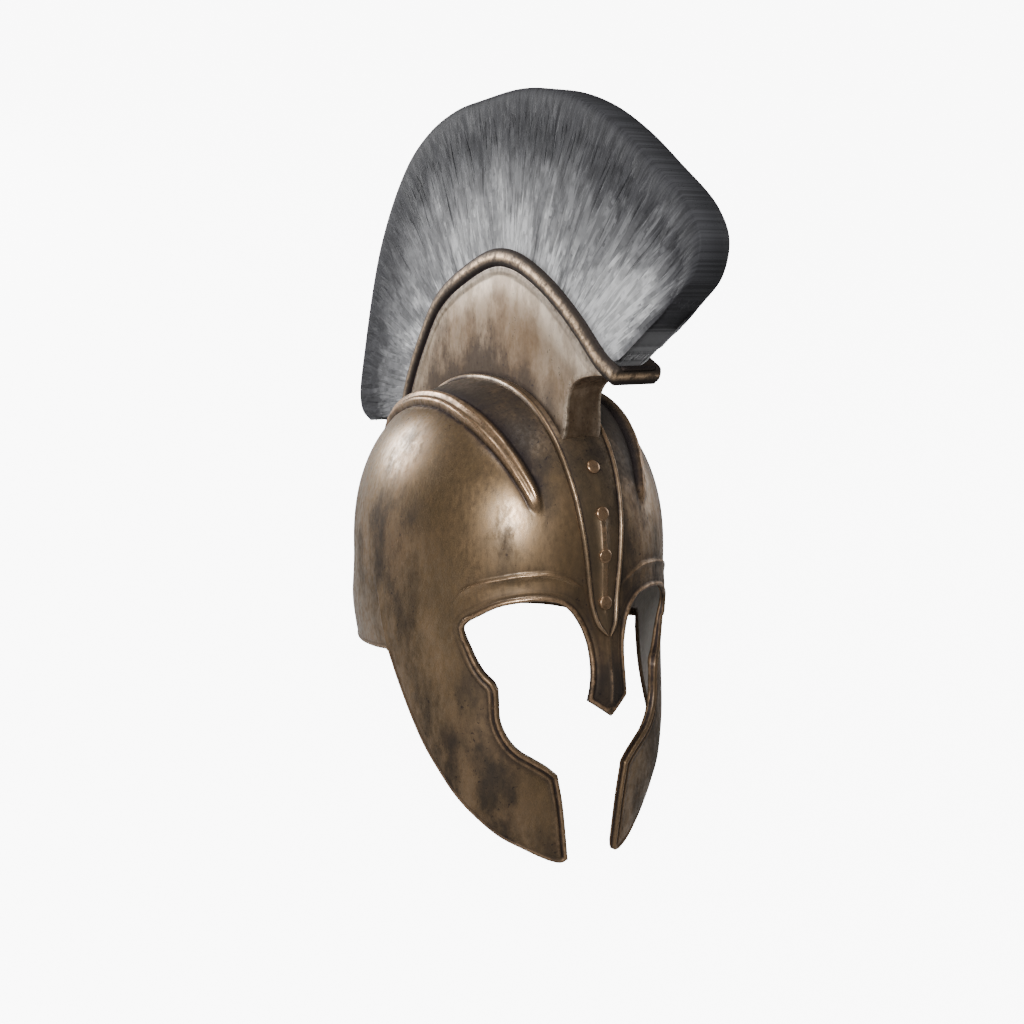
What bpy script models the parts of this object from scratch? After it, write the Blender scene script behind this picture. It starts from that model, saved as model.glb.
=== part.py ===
"""A bronze helmet with a nose guard, long cheek pieces and a tall crest of hair.

The helmet is drawn upright, with z = 0 at the brow and its face towards -Y, and is then
laid back until it rests on its two cheek tips and on the rim of its neck guard.
"""

import math
from collections import namedtuple

import bmesh
import bpy
import numpy as np
from mathutils import Euler
from mathutils.geometry import delaunay_2d_cdt


def table(columns, *rows):
    """Make a table whose rows have named columns."""
    row = namedtuple("Row", columns)
    return [row(*values) for values in rows]


# Driving sizes of the shell, in metres
helmet_width = 0.212
front_depth = 0.122
back_depth = 0.126
dome_height = 0.122
shell_wall = 0.002
nasal_length = 0.0926
nasal_reach = 0.016
eye_drop = 0.0334
cheek_length = 0.197
cheek_step = 0.003
cheek_bulge = 0.006
neck_drop = 0.0705
ridge_rise = 0.006
brow_rise = 0.0014
brow_step = 0.0015

# Driving sizes of the centre plate and its rivets
plate_width = 0.046
plate_wall = 0.0014
plate_bead = 0.0016
plate_drop = 0.040
plate_tail = 0.050
rib_width = 0.0040
rib_rise = 0.0008
rib_fade = 0.012
rivet_diameter = 0.0094
rivet_height = 0.0022

# Driving sizes of the crest
box_wall = 0.0015
box_width = 0.032
tray_width = 0.037
tray_height = 0.013
tray_depth = 0.007
tray_lip = 0.0055
tray_end = 0.003
crest_front = 0.151
crest_back = 0.131
crest_top = 0.197

# Driving sizes of the plume
plume_thickness = 0.024
plume_front = 0.229
plume_top = 0.3135
plume_back = 0.2245
lock_groove = 0.0016
lock_step = 0.002

# Clearances and mesh steps
clearance = 0.0003
mesh_step = 0.0125
line_step = 0.0085
crest_step = 0.0148
plate_step = 0.0105
lock_width = 0.0140
fine_step = 0.001
ridge_step = 0.011
rivet_corners = 18
# Inner mesh points keep at least this share of mesh_step from the outline and the lines
grid_gap = 0.62

# How full the dome is, and how much squarer than an ellipse the neck guard is, seen from above
dome_power = 2.3
neck_square = 0.32
# The height where the shell's dome mesh meets its skirt mesh, in shares of dome_height
seam_share = 0.10
# Faces that meet at more than this angle, in degrees, have a sharp edge
sharp_angle = 40

# The nose guard starts to stand forward at nasal_start and stands out fully nasal_blend further
# down, in shares of nasal_length. It falls by nasal_fall at nasal_edge degrees from its middle,
# and ends at nasal_limit degrees by the brow, less nasal_narrow further down
nasal_start = 0.12
nasal_blend = 0.72
nasal_fall = 0.30
nasal_edge = 9.5
nasal_full = 10.0
nasal_limit = 26.0
nasal_narrow = 12.0
narrow_start = 0.22
narrow_blend = 0.25

# The raised brow band runs between these angles in degrees and fades at both ends
brow_inner_end = 6.0
brow_inner_fade = 7.0
brow_outer_end = 54.0
brow_outer_fade = 10.0
# It ends this far down, in shares of eye_drop
brow_foot = 1.3

# The cheek swells over swell_width degrees from swell_start, between shares of cheek_length
swell_start = 22.0
swell_width = 64.0
swell_top = 0.20
swell_blend = 0.42
swell_foot = 0.28

# The shell below the brow, in shares: drop of cheek_length, half width of half helmet_width,
# middle (how far the widest place lies forward) and front of front_depth, back of back_depth
SKIRT = table(
    "drop half_width middle front back",
    (0.000, 1.000, 0.000, 1.000, 1.000),
    (0.152, 1.000, 0.000, 1.000, 0.985),
    (0.305, 0.970, 0.041, 0.975, 0.945),
    (0.457, 0.925, 0.098, 0.959, 0.860),
    (0.711, 0.849, 0.197, 0.943, 0.740),
    (1.015, 0.642, 0.311, 0.926, 0.579),
)

# Outlines, as (angle round the head in degrees from the face, drop in shares)
# The nose guard's drop is a share of nasal_length
NASAL_SIDE = table(
    "angle drop",
    (9.1, 0.876), (8.2, 0.778), (7.6, 0.657), (7.9, 0.502), (9.4, 0.379), (11.1, 0.302), (13.2, 0.240),
)
# The brow's drop is a share of eye_drop
BROW_EDGE = table(
    "angle drop",
    (16.5, 0.524), (21.7, 0.464), (25.7, 0.458), (36.6, 0.569), (43.5, 0.766), (48.7, 0.949), (49.5, 1.0),
)
# The raised brow line's drop is a share of eye_drop too, and above z = 0 where it is negative
BROW_LINE = table(
    "angle drop",
    (5.8, 0.377), (10.1, 0.162), (15.5, -0.003), (21.8, -0.081), (29.5, -0.057), (36.8, 0.021),
    (43.5, 0.117), (49.4, 0.290), (53.7, 0.641),
)
# The cheek's drop is a share of the way from the eye's corner down to the cheek tip
CHEEK_BESIDE_EYE = table(
    "angle drop",
    (48.5, 0.015), (47.2, 0.086), (45.8, 0.136), (43.2, 0.188), (39.9, 0.228), (38.7, 0.257),
)
CHEEK_BESIDE_MOUTH = table(
    "angle drop",
    (38.8, 0.300), (38.9, 0.385), (36.3, 0.460), (32.3, 0.510), (27.2, 0.545), (21.6, 0.582), (17.3, 0.619),
)
CHEEK_FRONT = table("angle drop", (15.7, 0.744), (15.2, 0.987))
CHEEK_BACK = table(
    "angle drop",
    (18.9, 1.000), (25.4, 0.989), (38.4, 0.938), (49.0, 0.882), (57.8, 0.777), (66.8, 0.640),
    (75.2, 0.512), (80.7, 0.378), (83.5, 0.246), (84.4, 0.166),
)
# The neck guard's drop is a share of neck_drop
NECK_EDGE = table(
    "angle drop",
    (86.4, 0.868), (100.0, 0.925), (116.0, 0.960), (130.0, 0.955), (142.0, 0.968), (153.0, 1.000),
    (166.0, 0.972), (180.0, 0.943),
)
# The step behind the cheek, in shares of neck_drop
CHEEK_CREASE = table(
    "drop angle",
    (0.172, 88.4), (0.250, 87.6), (0.323, 86.0), (0.452, 84.5), (0.698, 84.5),
)
crease_lean = 2.0
# The step starts at this share of neck_drop and is full step_blend below it. In front of it the
# cheek rises from cheek_from degrees, and behind it the neck guard is plain from neck_to degrees
step_start = 0.12
step_blend = 0.35
cheek_from = 40.0
cheek_blend = 40.0
neck_to = 125.0
neck_blend = 30.0

# The two ridges over the dome: how far out their outer foot and inner crease lie, in shares of
# half helmet_width, at a place forward or back that is a share of the depth there
RIDGE = table(
    "along outer inner",
    (0.000, 0.605, 0.490),
    (0.300, 0.595, 0.482),
    (0.500, 0.566, 0.460),
    (0.660, 0.522, 0.432),
    (0.775, 0.472, 0.401),
    (0.850, 0.420, 0.380),
    (0.885, 0.372, 0.368),
)
# A ridge's height from its outer foot, at 0, to its inner crease, at 1
RIDGE_PROFILE = table("place rise", (0.0, 0.0), (0.28, 0.62), (0.50, 0.55), (0.80, 1.0), (1.0, 0.0))
ridge_fade = 0.35

# Half width of the centre plate in shares of half plate_width, from its foot, at 0, to the top, at 1
PLATE_FRONT = table(
    "along half_width",
    (0.00, 0.06), (0.03, 0.21), (0.09, 0.37), (0.17, 0.47), (0.27, 0.61), (0.35, 0.70), (0.44, 0.73),
    (0.53, 0.84), (0.63, 0.93), (0.74, 0.96), (0.84, 1.00), (1.00, 1.00),
)
# Across the plate: place in shares of its half width, and how much of the bead stands there
PLATE_ACROSS = table("place bead", (1.00, 0.25), (0.93, 1.0), (0.85, 0.8), (0.78, 0.0), (0.45, 0.0))
PLATE_UNDER = (-1.0, -0.5, 0.0, 0.5, 1.0)
rivet_heights = (-0.0183, 0.0118, 0.0393, 0.0680)
# The rib's width is at most this share of the plate's half width, and its flat top this share of its own
rib_limit = 0.38
rib_top = 0.6
# A rivet head: out in shares of half rivet_diameter, up in shares of rivet_height
RIVET_HEAD = table("out up", (1.0, 0.0), (1.0, 0.35), (0.86, 0.75), (0.55, 0.94), (0.2, 1.0))

# Across the guide that trims the box's foot, in shares of the plate's half width
SEAT_ACROSS = (1.15, 0.85, 0.45, 0.0, -0.45, -0.85, -1.15)

# The crest's arch, as the tray's underside: forward and back in shares of crest_front and
# crest_back, and up in shares of crest_top
ARCH = table(
    "along height",
    (-1.000, 0.632), (-0.900, 0.672), (-0.706, 0.793), (-0.488, 0.904), (-0.249, 0.984), (-0.073, 1.000),
    (0.200, 0.952), (0.515, 0.853), (0.713, 0.708), (0.871, 0.549), (0.975, 0.385),
)
# The box stands on the plate between these shares of dome depth, forward and back
box_foot_front = 0.775
box_foot_back = 0.800
box_rim_front = 0.030
box_rim_back = 0.960
neck_bulge = 0.022
box_sink = 0.006
box_waist = 0.86
# The foot's width is a share of the plate's, and the neck's bulge leans back and up by these shares
foot_share = 0.68
bulge_back = 0.92
bulge_up = 0.38
# The bulge is fullest above the middle: a power of 1 would put it half way up
bulge_high = 1.4
# The neck's bulge and waist fade out at these shares of the way back
bulge_end = 0.4
waist_end = 0.5

# The tray's half section: out in shares of half tray_width, up in shares of tray_height.
# Its inside is a little wider at the top, and its ends are closed up to end_height
inside_flare = 1.02
inside_top = 0.98
end_height = 0.97
end_nudge = 0.02
TRAY_OUTSIDE = table(
    "out up",
    (0.80, 0.0), (0.92, 0.10), (1.0, 0.38), (0.98, 0.68), (0.88, 0.94), (0.79, 1.0),
)

# The plume's tips: forward and back in shares of plume_front and plume_back, up in shares of plume_top
PLUME_TIPS = table(
    "along height",
    (-0.900, 0.560), (-0.975, 0.605), (-1.000, 0.668), (-0.955, 0.728), (-0.800, 0.815), (-0.655, 0.887),
    (-0.500, 0.945), (-0.330, 0.984), (-0.160, 1.000), (0.060, 0.995), (0.240, 0.984), (0.430, 0.945),
    (0.600, 0.870), (0.800, 0.690), (0.950, 0.420), (0.992, 0.300), (0.970, 0.262), (0.905, 0.240),
)
# Half thickness of the plume from root to tip, in shares of half plume_thickness
PLUME_THICKNESS = table(
    "place half",
    (0.0, 0.80), (0.12, 0.94), (0.45, 1.0), (0.82, 0.96), (0.96, 0.84), (1.0, 0.60),
)
groove_start = 0.3
# Lock lengths vary by a wave of this pace and share along the fan
wave_pace = 2.4
wave_share = 0.4
plume_root_front = 0.055
plume_root_back = 0.975

COLOURS = {
    "shell": ((0.160, 0.105, 0.058), 0.42, 1.0),
    "plate": ((0.135, 0.088, 0.052), 0.45, 1.0),
    "rivet": ((0.190, 0.110, 0.065), 0.40, 1.0),
    "crest": ((0.175, 0.112, 0.065), 0.42, 1.0),
    "plume": ((0.120, 0.122, 0.130), 0.60, 0.0),
}


def clear_scene():
    """Remove what the scene holds at the start."""
    for item in list(bpy.data.objects):
        bpy.data.objects.remove(item, do_unlink=True)


def smooth_step(value):
    """Go smoothly from 0 to 1 as the value does."""
    t = np.clip(value, 0.0, 1.0)
    return t * t * (3.0 - 2.0 * t)


def through(rows, column, at):
    """Read one column of a table at places in its first column, on a curve with no overshoot."""
    x = np.array([row[0] for row in rows])
    y = np.array([getattr(row, column) for row in rows])
    step = np.diff(x)
    slope = np.diff(y) / step
    lean = np.zeros(len(x))
    same_way = slope[:-1] * slope[1:] > 0.0
    both = np.where(same_way, slope[:-1] + slope[1:], 1.0)
    lean[1:-1] = np.where(same_way, 2.0 * slope[:-1] * slope[1:] / both, 0.0)
    lean[0] = slope[0]
    lean[-1] = slope[-1]
    at = np.clip(np.asarray(at, float), x[0], x[-1])
    i = np.clip(np.searchsorted(x, at, side="right") - 1, 0, len(x) - 2)
    t = (at - x[i]) / step[i]
    start = (1.0 + 2.0 * t) * (1.0 - t) ** 2 * y[i] + t * (1.0 - t) ** 2 * step[i] * lean[i]
    end = t * t * (3.0 - 2.0 * t) * y[i + 1] + t * t * (t - 1.0) * step[i] * lean[i + 1]
    return start + end


def mixed(first, second, share):
    """Mix two values by the share of the second."""
    return first + (second - first) * share


def curve(points, step):
    """Space points evenly along a smooth curve through the given ones, ends included."""
    given = np.array(points, float)
    padded = np.vstack([2 * given[0] - given[1], given, 2 * given[-1] - given[-2]])
    fine = []
    for a, b, c, d in zip(padded[:-3], padded[1:-2], padded[2:-1], padded[3:]):
        spans = [np.linalg.norm(q - p) ** 0.5 for p, q in ((a, b), (b, c), (c, d))]
        k1, k2, k3 = np.cumsum(np.maximum(spans, 1e-3))
        t = np.linspace(k1, k2, 12, endpoint=False)[:, None]
        ab = mixed(a, b, t / k1)
        bc = mixed(b, c, (t - k1) / (k2 - k1))
        cd = mixed(c, d, (t - k2) / (k3 - k2))
        fine.append(mixed(mixed(ab, bc, t / k2), mixed(bc, cd, (t - k1) / (k3 - k1)), (t - k1) / (k2 - k1)))
    line = np.vstack(fine + [given[-1:]])
    return even(line, step)


def run_along(line):
    """Give the way along a line from its start to each of its points."""
    return np.concatenate([[0.0], np.cumsum(np.linalg.norm(np.diff(line, axis=0), axis=1))])


def read_along(line, shares):
    """Read points of a line at shares of its length."""
    run = run_along(line)
    at = np.asarray(shares) * run[-1]
    return np.stack([np.interp(at, run, line[:, i]) for i in range(line.shape[1])], axis=1)


def even(line, step):
    """Space points evenly along a line, about a step apart, with its ends kept."""
    count = max(1, round(run_along(line)[-1] / step))
    return read_along(line, np.linspace(0.0, 1.0, count + 1))


def section(height):
    """Give the shell's half width, middle, front reach and back reach at a height."""
    drop = np.maximum(-np.asarray(height, float), 0.0) / cheek_length
    up = np.clip(np.asarray(height, float) / dome_height, 0.0, 1.0)
    full = (1.0 - up ** dome_power) ** (1.0 / dome_power)
    half = through(SKIRT, "half_width", drop) * helmet_width / 2 * full
    middle = -through(SKIRT, "middle", drop) * front_depth
    front = (through(SKIRT, "front", drop) * front_depth + middle) * full
    back = (through(SKIRT, "back", drop) * back_depth - middle) * full
    return half, middle, front, back


def plan_power(height):
    """Say how square the shell's back half is at a height, seen from above: 2 is an ellipse."""
    return 2.0 + neck_square * smooth_step(-np.asarray(height, float) / neck_drop)


def bare_point(angle, height):
    """Give a point of the plain shell at an angle from the face and a height."""
    half, middle, front, back = section(height)
    along = np.cos(angle)
    across = np.sin(angle)
    power = plan_power(height)
    full = (np.abs(along) ** power + np.abs(across) ** power) ** (-1.0 / power)
    full = np.where(along > 0.0, 1.0, full)
    y = middle - np.where(along > 0.0, front, back) * along * full
    return np.stack([half * across * full, y, np.asarray(height, float) + 0.0 * angle], axis=-1)


def level(point):
    """Say how far outside the plain shell a point is: 0 on it, negative inside."""
    x, y, z = point[..., 0], point[..., 1], point[..., 2]
    half, middle, front, back = section(np.minimum(z, 0.0))
    reach = np.where(y < middle, front, back)
    power = np.where(y < middle, 2.0, plan_power(z))
    plan = np.abs(x / half) ** power + np.abs((y - middle) / reach) ** power
    up = np.maximum(z, 0.0) / dome_height
    return plan ** (dome_power / power) + up ** dome_power - 1.0


def outward(point):
    """Give the direction straight out of the plain shell at a point of it."""
    small = 1e-4
    lean = np.zeros(point.shape)
    for axis in range(3):
        side = np.zeros(3)
        side[axis] = small
        lean[..., axis] = level(point + side) - level(point - side)
    return lean / np.linalg.norm(lean, axis=-1, keepdims=True)


def nasal_lift(angle, height):
    """Say how far the nose guard stands forward of the plain shell."""
    degrees = np.degrees(np.abs(angle))
    drop = -height / nasal_length
    down = smooth_step((drop - nasal_start) / nasal_blend)
    across = 1.0 - nasal_fall * np.clip(degrees / nasal_edge, 0.0, 1.0)
    limit = nasal_limit - nasal_narrow * smooth_step((drop - narrow_start) / narrow_blend)
    return nasal_reach * down * across * smooth_step((limit - degrees) / (limit - nasal_full))


def ridge_lift(point):
    """Say how high a dome ridge stands at a point of the plain shell."""
    depth = np.where(point[..., 1] < 0.0, front_depth, back_depth)
    along = np.abs(point[..., 1]) / depth
    outer = through(RIDGE, "outer", along) * helmet_width / 2
    inner = through(RIDGE, "inner", along) * helmet_width / 2
    place = (outer - np.abs(point[..., 0])) / np.maximum(outer - inner, 1e-6)
    places = [row.place for row in RIDGE_PROFILE]
    shape = np.interp(place, places, [row.rise for row in RIDGE_PROFILE], left=0.0, right=0.0)
    fade = smooth_step((RIDGE[-1].along - along) / ridge_fade) ** 0.5
    return ridge_rise * shape * fade * (point[..., 2] > 0.0)


def brow_lift(angle, height):
    """Say how high the brow band stands, below its raised line and above the eye."""
    degrees = np.degrees(angle)
    line = -through(BROW_LINE, "drop", degrees) * eye_drop
    inside = np.clip((line - height) / brow_step, 0.0, 1.0)
    inner_end = smooth_step((degrees - brow_inner_end) / brow_inner_fade)
    outer_end = smooth_step((brow_outer_end - degrees) / brow_outer_fade)
    return brow_rise * inside * inner_end * outer_end * (height > -brow_foot * eye_drop)


def cheek_lift(angle, height):
    """Say how far the cheek's back edge stands out, and the neck guard behind it stands in."""
    degrees = np.degrees(angle)
    drop = -height / neck_drop
    crease = through(CHEEK_CREASE, "angle", drop)
    deep = smooth_step((drop - step_start) / step_blend)
    cheek = smooth_step((degrees - cheek_from) / cheek_blend)
    neck = smooth_step((neck_to - degrees) / neck_blend)
    behind = np.clip((degrees - crease) / crease_lean, 0.0, 1.0)
    return cheek_step / 2 * deep * (cheek * (1.0 - behind) - neck * behind)


def shell_point(angle, height):
    """Give a point of the shell's outer face, with its ridges, brow band, cheek step and nose guard."""
    bare = bare_point(angle, height)
    rise = ridge_lift(bare) + brow_lift(angle, height) + cheek_lift(angle, height)
    rise = rise + cheek_swell(angle, height)
    point = bare + outward(bare) * rise[..., None]
    point[..., 1] -= nasal_lift(angle, height)
    return point


def cheek_swell(angle, height):
    """Say how far the middle of a cheek piece swells out of the plain shell."""
    degrees = np.degrees(angle)
    across = np.sin(np.pi * np.clip((degrees - swell_start) / swell_width, 0.0, 1.0)) ** 2
    drop = -height / cheek_length
    down = smooth_step((drop - swell_top) / swell_blend) * smooth_step((1.0 - drop) / swell_foot)
    return cheek_bulge * across * down


def drop_of(share_rows, size, start=0.0):
    """Turn rows of angle and drop into flat map points: arc length across and height."""
    arc = helmet_width / 2
    return [(math.radians(row.angle) * arc, -(start + row.drop * size)) for row in share_rows]


def inside_outline(points, outline):
    """Say which flat points lie inside a closed outline."""
    x = points[:, 0][:, None]
    y = points[:, 1][:, None]
    a = outline
    b = np.roll(outline, -1, axis=0)
    spans = (a[:, 1] > y) != (b[:, 1] > y)
    rise = np.where(np.abs(b[:, 1] - a[:, 1]) < 1e-12, 1e-12, b[:, 1] - a[:, 1])
    crossing = a[:, 0] + (y - a[:, 1]) / rise * (b[:, 0] - a[:, 0])
    return (spans & (x < crossing)).sum(axis=1) % 2 == 1


def flat_mesh(outline, lines, step):
    """Fill a closed flat outline with triangles whose edges follow the given lines.

    Returns the flat points and the triangles.
    """
    points = [tuple(p) for p in outline]
    edges = []
    for line in lines:
        start = len(points)
        points += [tuple(p) for p in line]
        edges += [(start + i, start + i + 1) for i in range(len(line) - 1)]
    fixed = np.array(points)
    low = outline.min(axis=0)
    high = outline.max(axis=0)
    row_step = step * math.sqrt(3) / 2
    rows = int((high[1] - low[1]) / row_step) + 1
    columns = int((high[0] - low[0]) / step) + 1
    grid = np.array([
        (low[0] + (i + 0.5 * (j % 2)) * step, low[1] + (j + 0.5) * row_step)
        for j in range(rows) for i in range(columns + 1)
    ])
    gap = np.linalg.norm(grid[:, None, :] - fixed[None, :, :], axis=2).min(axis=1)
    keep = inside_outline(grid, outline) & (gap > grid_gap * step)
    points += [tuple(p) for p in grid[keep]]
    border = [list(range(len(outline)))]
    flat = delaunay_2d_cdt(points, edges, border, 1, 1e-7)
    return np.array([tuple(p) for p in flat[0]]), [tuple(face) for face in flat[2]]


def skirt_patch(seam_height, seam_angles):
    """Lay out the shell's half below the seam, as angles, heights and triangles."""
    arc = helmet_width / 2
    cheek = cheek_length - eye_drop
    tip = drop_of(table("angle drop", (0.0, 1.0)), nasal_length)
    nasal = drop_of(NASAL_SIDE, nasal_length)
    brow = drop_of(BROW_EDGE, eye_drop)
    beside_eye = drop_of(CHEEK_BESIDE_EYE, cheek, eye_drop)
    beside_mouth = drop_of(CHEEK_BESIDE_MOUTH, cheek, eye_drop)
    front = drop_of(CHEEK_FRONT, cheek, eye_drop)
    back = drop_of(CHEEK_BACK, cheek, eye_drop)
    neck = drop_of(NECK_EDGE, neck_drop)
    runs = [
        tip + nasal[:1], nasal + brow, brow[-1:] + beside_eye, beside_eye[-1:] + beside_mouth,
        beside_mouth[-1:] + front, front[-1:] + back, back[-1:] + neck[:1], neck,
        neck[-1:] + [(math.pi * arc, seam_height)],
    ]
    outline = [curve(run, line_step)[:-1] for run in runs]
    outline.append(np.array([(angle * arc, seam_height) for angle in seam_angles[::-1]]))
    centre = np.array([(0.0, seam_height), tip[0]])
    outline.append(even(centre, line_step)[1:-1])
    band_top = curve(drop_of(BROW_LINE, eye_drop), line_step)
    band_foot = band_top - np.array([0.0, brow_step])
    crease = curve(drop_of(CHEEK_CREASE, neck_drop) + back[-1:], line_step)
    behind = curve([(x + math.radians(crease_lean) * arc, y) for x, y in crease[:-1]] + neck[:1], line_step)
    flat, faces = flat_mesh(np.vstack(outline), [band_top, band_foot, crease, behind], mesh_step)
    return flat[:, 0] / arc, flat[:, 1], faces


def ridge_lines():
    """Lay out the long lines of one dome ridge on the dome's flat map."""
    shares = np.linspace(-RIDGE[-1].along, RIDGE[-1].along, 33)
    outer = through(RIDGE, "outer", np.abs(shares))
    inner = through(RIDGE, "inner", np.abs(shares))
    lines = []
    for row in RIDGE_PROFILE:
        across = outer + (inner - outer) * row.place
        radius = np.hypot(across, shares)
        slope = np.arcsin(np.clip(radius, 0.0, 1.0) ** (dome_power / 2))
        flat = np.stack([across / radius * slope, -shares / radius * slope], axis=1) * helmet_width / 2
        lines.append(even(flat, ridge_step))
    first = [line[1:-1] for line in lines[:-1]]
    return first + [lines[-1]]


def dome_patch(seam_height, seam_angles):
    """Lay out the shell's half above the seam, as angles, heights and triangles."""
    scale = helmet_width / 2
    seam_slope = math.acos((seam_height / dome_height) ** (dome_power / 2))
    rim = np.array([(math.sin(a) * seam_slope, math.cos(a) * seam_slope) for a in seam_angles]) * scale
    rim[0, 0] = 0.0
    rim[-1, 0] = 0.0
    middle = even(np.array([rim[-1], rim[0]]), line_step)[1:-1]
    outline = np.vstack([rim, middle])[::-1]
    flat, faces = flat_mesh(outline, ridge_lines(), mesh_step)
    slope = np.hypot(flat[:, 0], flat[:, 1]) / scale
    angle = np.arctan2(flat[:, 0], flat[:, 1])
    height = dome_height * np.cos(np.minimum(slope, math.pi / 2)) ** (2 / dome_power)
    return angle, height, faces


def new_object(name, points, faces, colour):
    """Make an object of a mesh, with its own material, shaded smooth."""
    mesh = bpy.data.meshes.new(name)
    mesh.from_pydata([tuple(p) for p in points], [], faces)
    mesh.update()
    item = bpy.data.objects.new(name, mesh)
    bpy.context.scene.collection.objects.link(item)
    base, roughness, metallic = COLOURS[colour]
    material = bpy.data.materials.new(name + "_finish")
    material.use_nodes = True
    shader = material.node_tree.nodes["Principled BSDF"]
    shader.inputs["Base Color"].default_value = (*base, 1.0)
    shader.inputs["Roughness"].default_value = roughness
    shader.inputs["Metallic"].default_value = metallic
    mesh.materials.append(material)
    mesh.shade_smooth()
    mesh.set_sharp_from_angle(angle=math.radians(sharp_angle))
    return item


def shell_half():
    """Give the outer points, inner points and triangles of the shell's half at +X."""
    seam_height = seam_share * dome_height
    seam_count = round(math.pi * helmet_width / 2 / line_step)
    seam_angles = np.linspace(0.0, math.pi, seam_count + 1)
    skirt = skirt_patch(seam_height, seam_angles)
    dome = dome_patch(seam_height, seam_angles)
    angle = np.concatenate([skirt[0], dome[0]])
    height = np.concatenate([skirt[1], dome[1]])
    shift = len(skirt[0])
    faces = skirt[2] + [tuple(i + shift for i in face) for face in dome[2]]
    outer = shell_point(angle, height)
    inner = outer - outward(bare_point(angle, height)) * shell_wall
    return outer, inner, faces


def make_shell():
    """Make the shell: dome, brow, nose guard, cheek pieces and neck guard in one sheet of bronze."""
    outer, inner, faces = shell_half()
    for side in (outer, inner):
        side[np.abs(side[:, 0]) < 2e-6, 0] = 0.0
    sheet = bmesh.new()
    layer = sheet.verts.layers.float_vector.new("inner")
    for sign in (1.0, -1.0):
        made = []
        for p, q in zip(outer, inner):
            vertex = sheet.verts.new((sign * p[0], p[1], p[2]))
            vertex[layer] = (sign * q[0], q[1], q[2])
            made.append(vertex)
        for face in faces:
            ring = [made[i] for i in face]
            a, b, c = (outer[i] for i in face)
            facing = np.cross(b - a, c - a) @ ((a + b + c) * (1, 1, 0.5))
            sheet.faces.new(ring if facing * sign > 0.0 else ring[::-1])
    bmesh.ops.remove_doubles(sheet, verts=sheet.verts, dist=2e-5)
    bmesh.ops.recalc_face_normals(sheet, faces=sheet.faces)
    sheet.verts.ensure_lookup_table()
    sheet.verts.index_update()
    top = max(sheet.faces, key=lambda face: face.calc_center_median().z)
    turn = top.normal.z < 0.0
    count = len(sheet.verts)
    points = [tuple(v.co) for v in sheet.verts] + [tuple(v[layer]) for v in sheet.verts]
    rings = [[v.index for v in face.verts] for face in sheet.faces]
    if turn:
        rings = [ring[::-1] for ring in rings]
    used = {(a, b) for ring in rings for a, b in zip(ring, ring[1:] + ring[:1])}
    open_edges = [(a, b) for a, b in used if (b, a) not in used]
    walls = [(b, a, a + count, b + count) for a, b in sorted(open_edges)]
    backs = [[i + count for i in ring[::-1]] for ring in rings]
    sheet.free()
    return new_object("shell", points, rings + backs + walls, "shell")


def midline(start_height, back_end, step):
    """Follow the shell's middle from the brow over the top to the back, a step apart.

    Returns the points and the directions straight out, both in the middle plane.
    """
    front = np.linspace(start_height, 0.0, 60, endpoint=False)
    slopes = np.linspace(math.pi / 2, -math.pi / 2, 361)
    rise = dome_height * np.abs(np.cos(slopes)) ** (2 / dome_power)
    low = shell_point(np.zeros(len(front)), front)
    forward = slopes > 0.0
    high = shell_point(np.where(forward, 0.0, math.pi), rise)
    high[:, 0] = 0.0
    line = np.vstack([low, high])
    keep = (line[:, 1] < 0.0) | (line[:, 2] > back_end)
    line = even(line[keep], step)
    along = np.gradient(line, axis=0)
    normal = np.stack([0.0 * along[:, 1], -along[:, 2], along[:, 1]], axis=1)
    return line, normal / np.linalg.norm(normal, axis=1, keepdims=True)


def seat(base, normal, across, rise):
    """Stand points a given rise above the shell, beside points of its middle line."""
    start = base + np.stack([across, 0.0 * across, 0.0 * across], axis=1)
    low = np.full(len(base), -0.01)
    high = np.full(len(base), 0.03)
    for _ in range(36):
        drop = (low + high) / 2
        point = start - normal * drop[:, None]
        angle = np.arctan2(point[:, 0], -(point[:, 1] + 0.0 * drop))
        plain = point.copy()
        plain[:, 1] += np.where(point[:, 1] < 0.0, nasal_lift(angle, point[:, 2]), 0.0)
        inside = level(plain) < 0.0
        high = np.where(inside, drop, high)
        low = np.where(inside, low, drop)
    return start - normal * ((low + high) / 2 - rise)[:, None]


def loft(rings, ladder=False):
    """Give the points and faces of a closed body that runs through rings of equal count.

    A ladder closes each end with rungs between the two matching halves of its ring.
    """
    count = len(rings[0])
    points = [tuple(p) for ring in rings for p in ring]
    faces = []
    for row in range(len(rings) - 1):
        for i in range(count):
            j = (i + 1) % count
            a = row * count
            faces.append((a + i, a + j, a + count + j, a + count + i))
    for base in (0, (len(rings) - 1) * count):
        if ladder:
            for i in range(count // 2 - 1):
                faces.append((base + i, base + i + 1, base + count - 2 - i, base + count - 1 - i))
        else:
            faces.append(tuple(range(base, base + count)))
    return points, faces


def face_out(item):
    """Split flat end faces into triangles and turn all faces outwards."""
    body = bmesh.new()
    body.from_mesh(item.data)
    bmesh.ops.triangulate(body, faces=[face for face in body.faces if len(face.verts) > 4])
    bmesh.ops.recalc_face_normals(body, faces=body.faces)
    if body.calc_volume(signed=True) < 0.0:
        bmesh.ops.reverse_faces(body, faces=body.faces)
    body.to_mesh(item.data)
    body.free()
    return item


def plate_half_width(along):
    """Give the plate's half width at shares of the way from its foot to the top of the dome."""
    return through(PLATE_FRONT, "half_width", np.minimum(along, 1.0)) * plate_width / 2


def plate_frame(step):
    """Give the plate's middle line, its outward directions and its half widths."""
    line, normal = midline(-plate_drop, plate_tail, step)
    run = run_along(line)
    top = run[np.argmax(line[:, 2])]
    return line, normal, plate_half_width(run / top)


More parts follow.
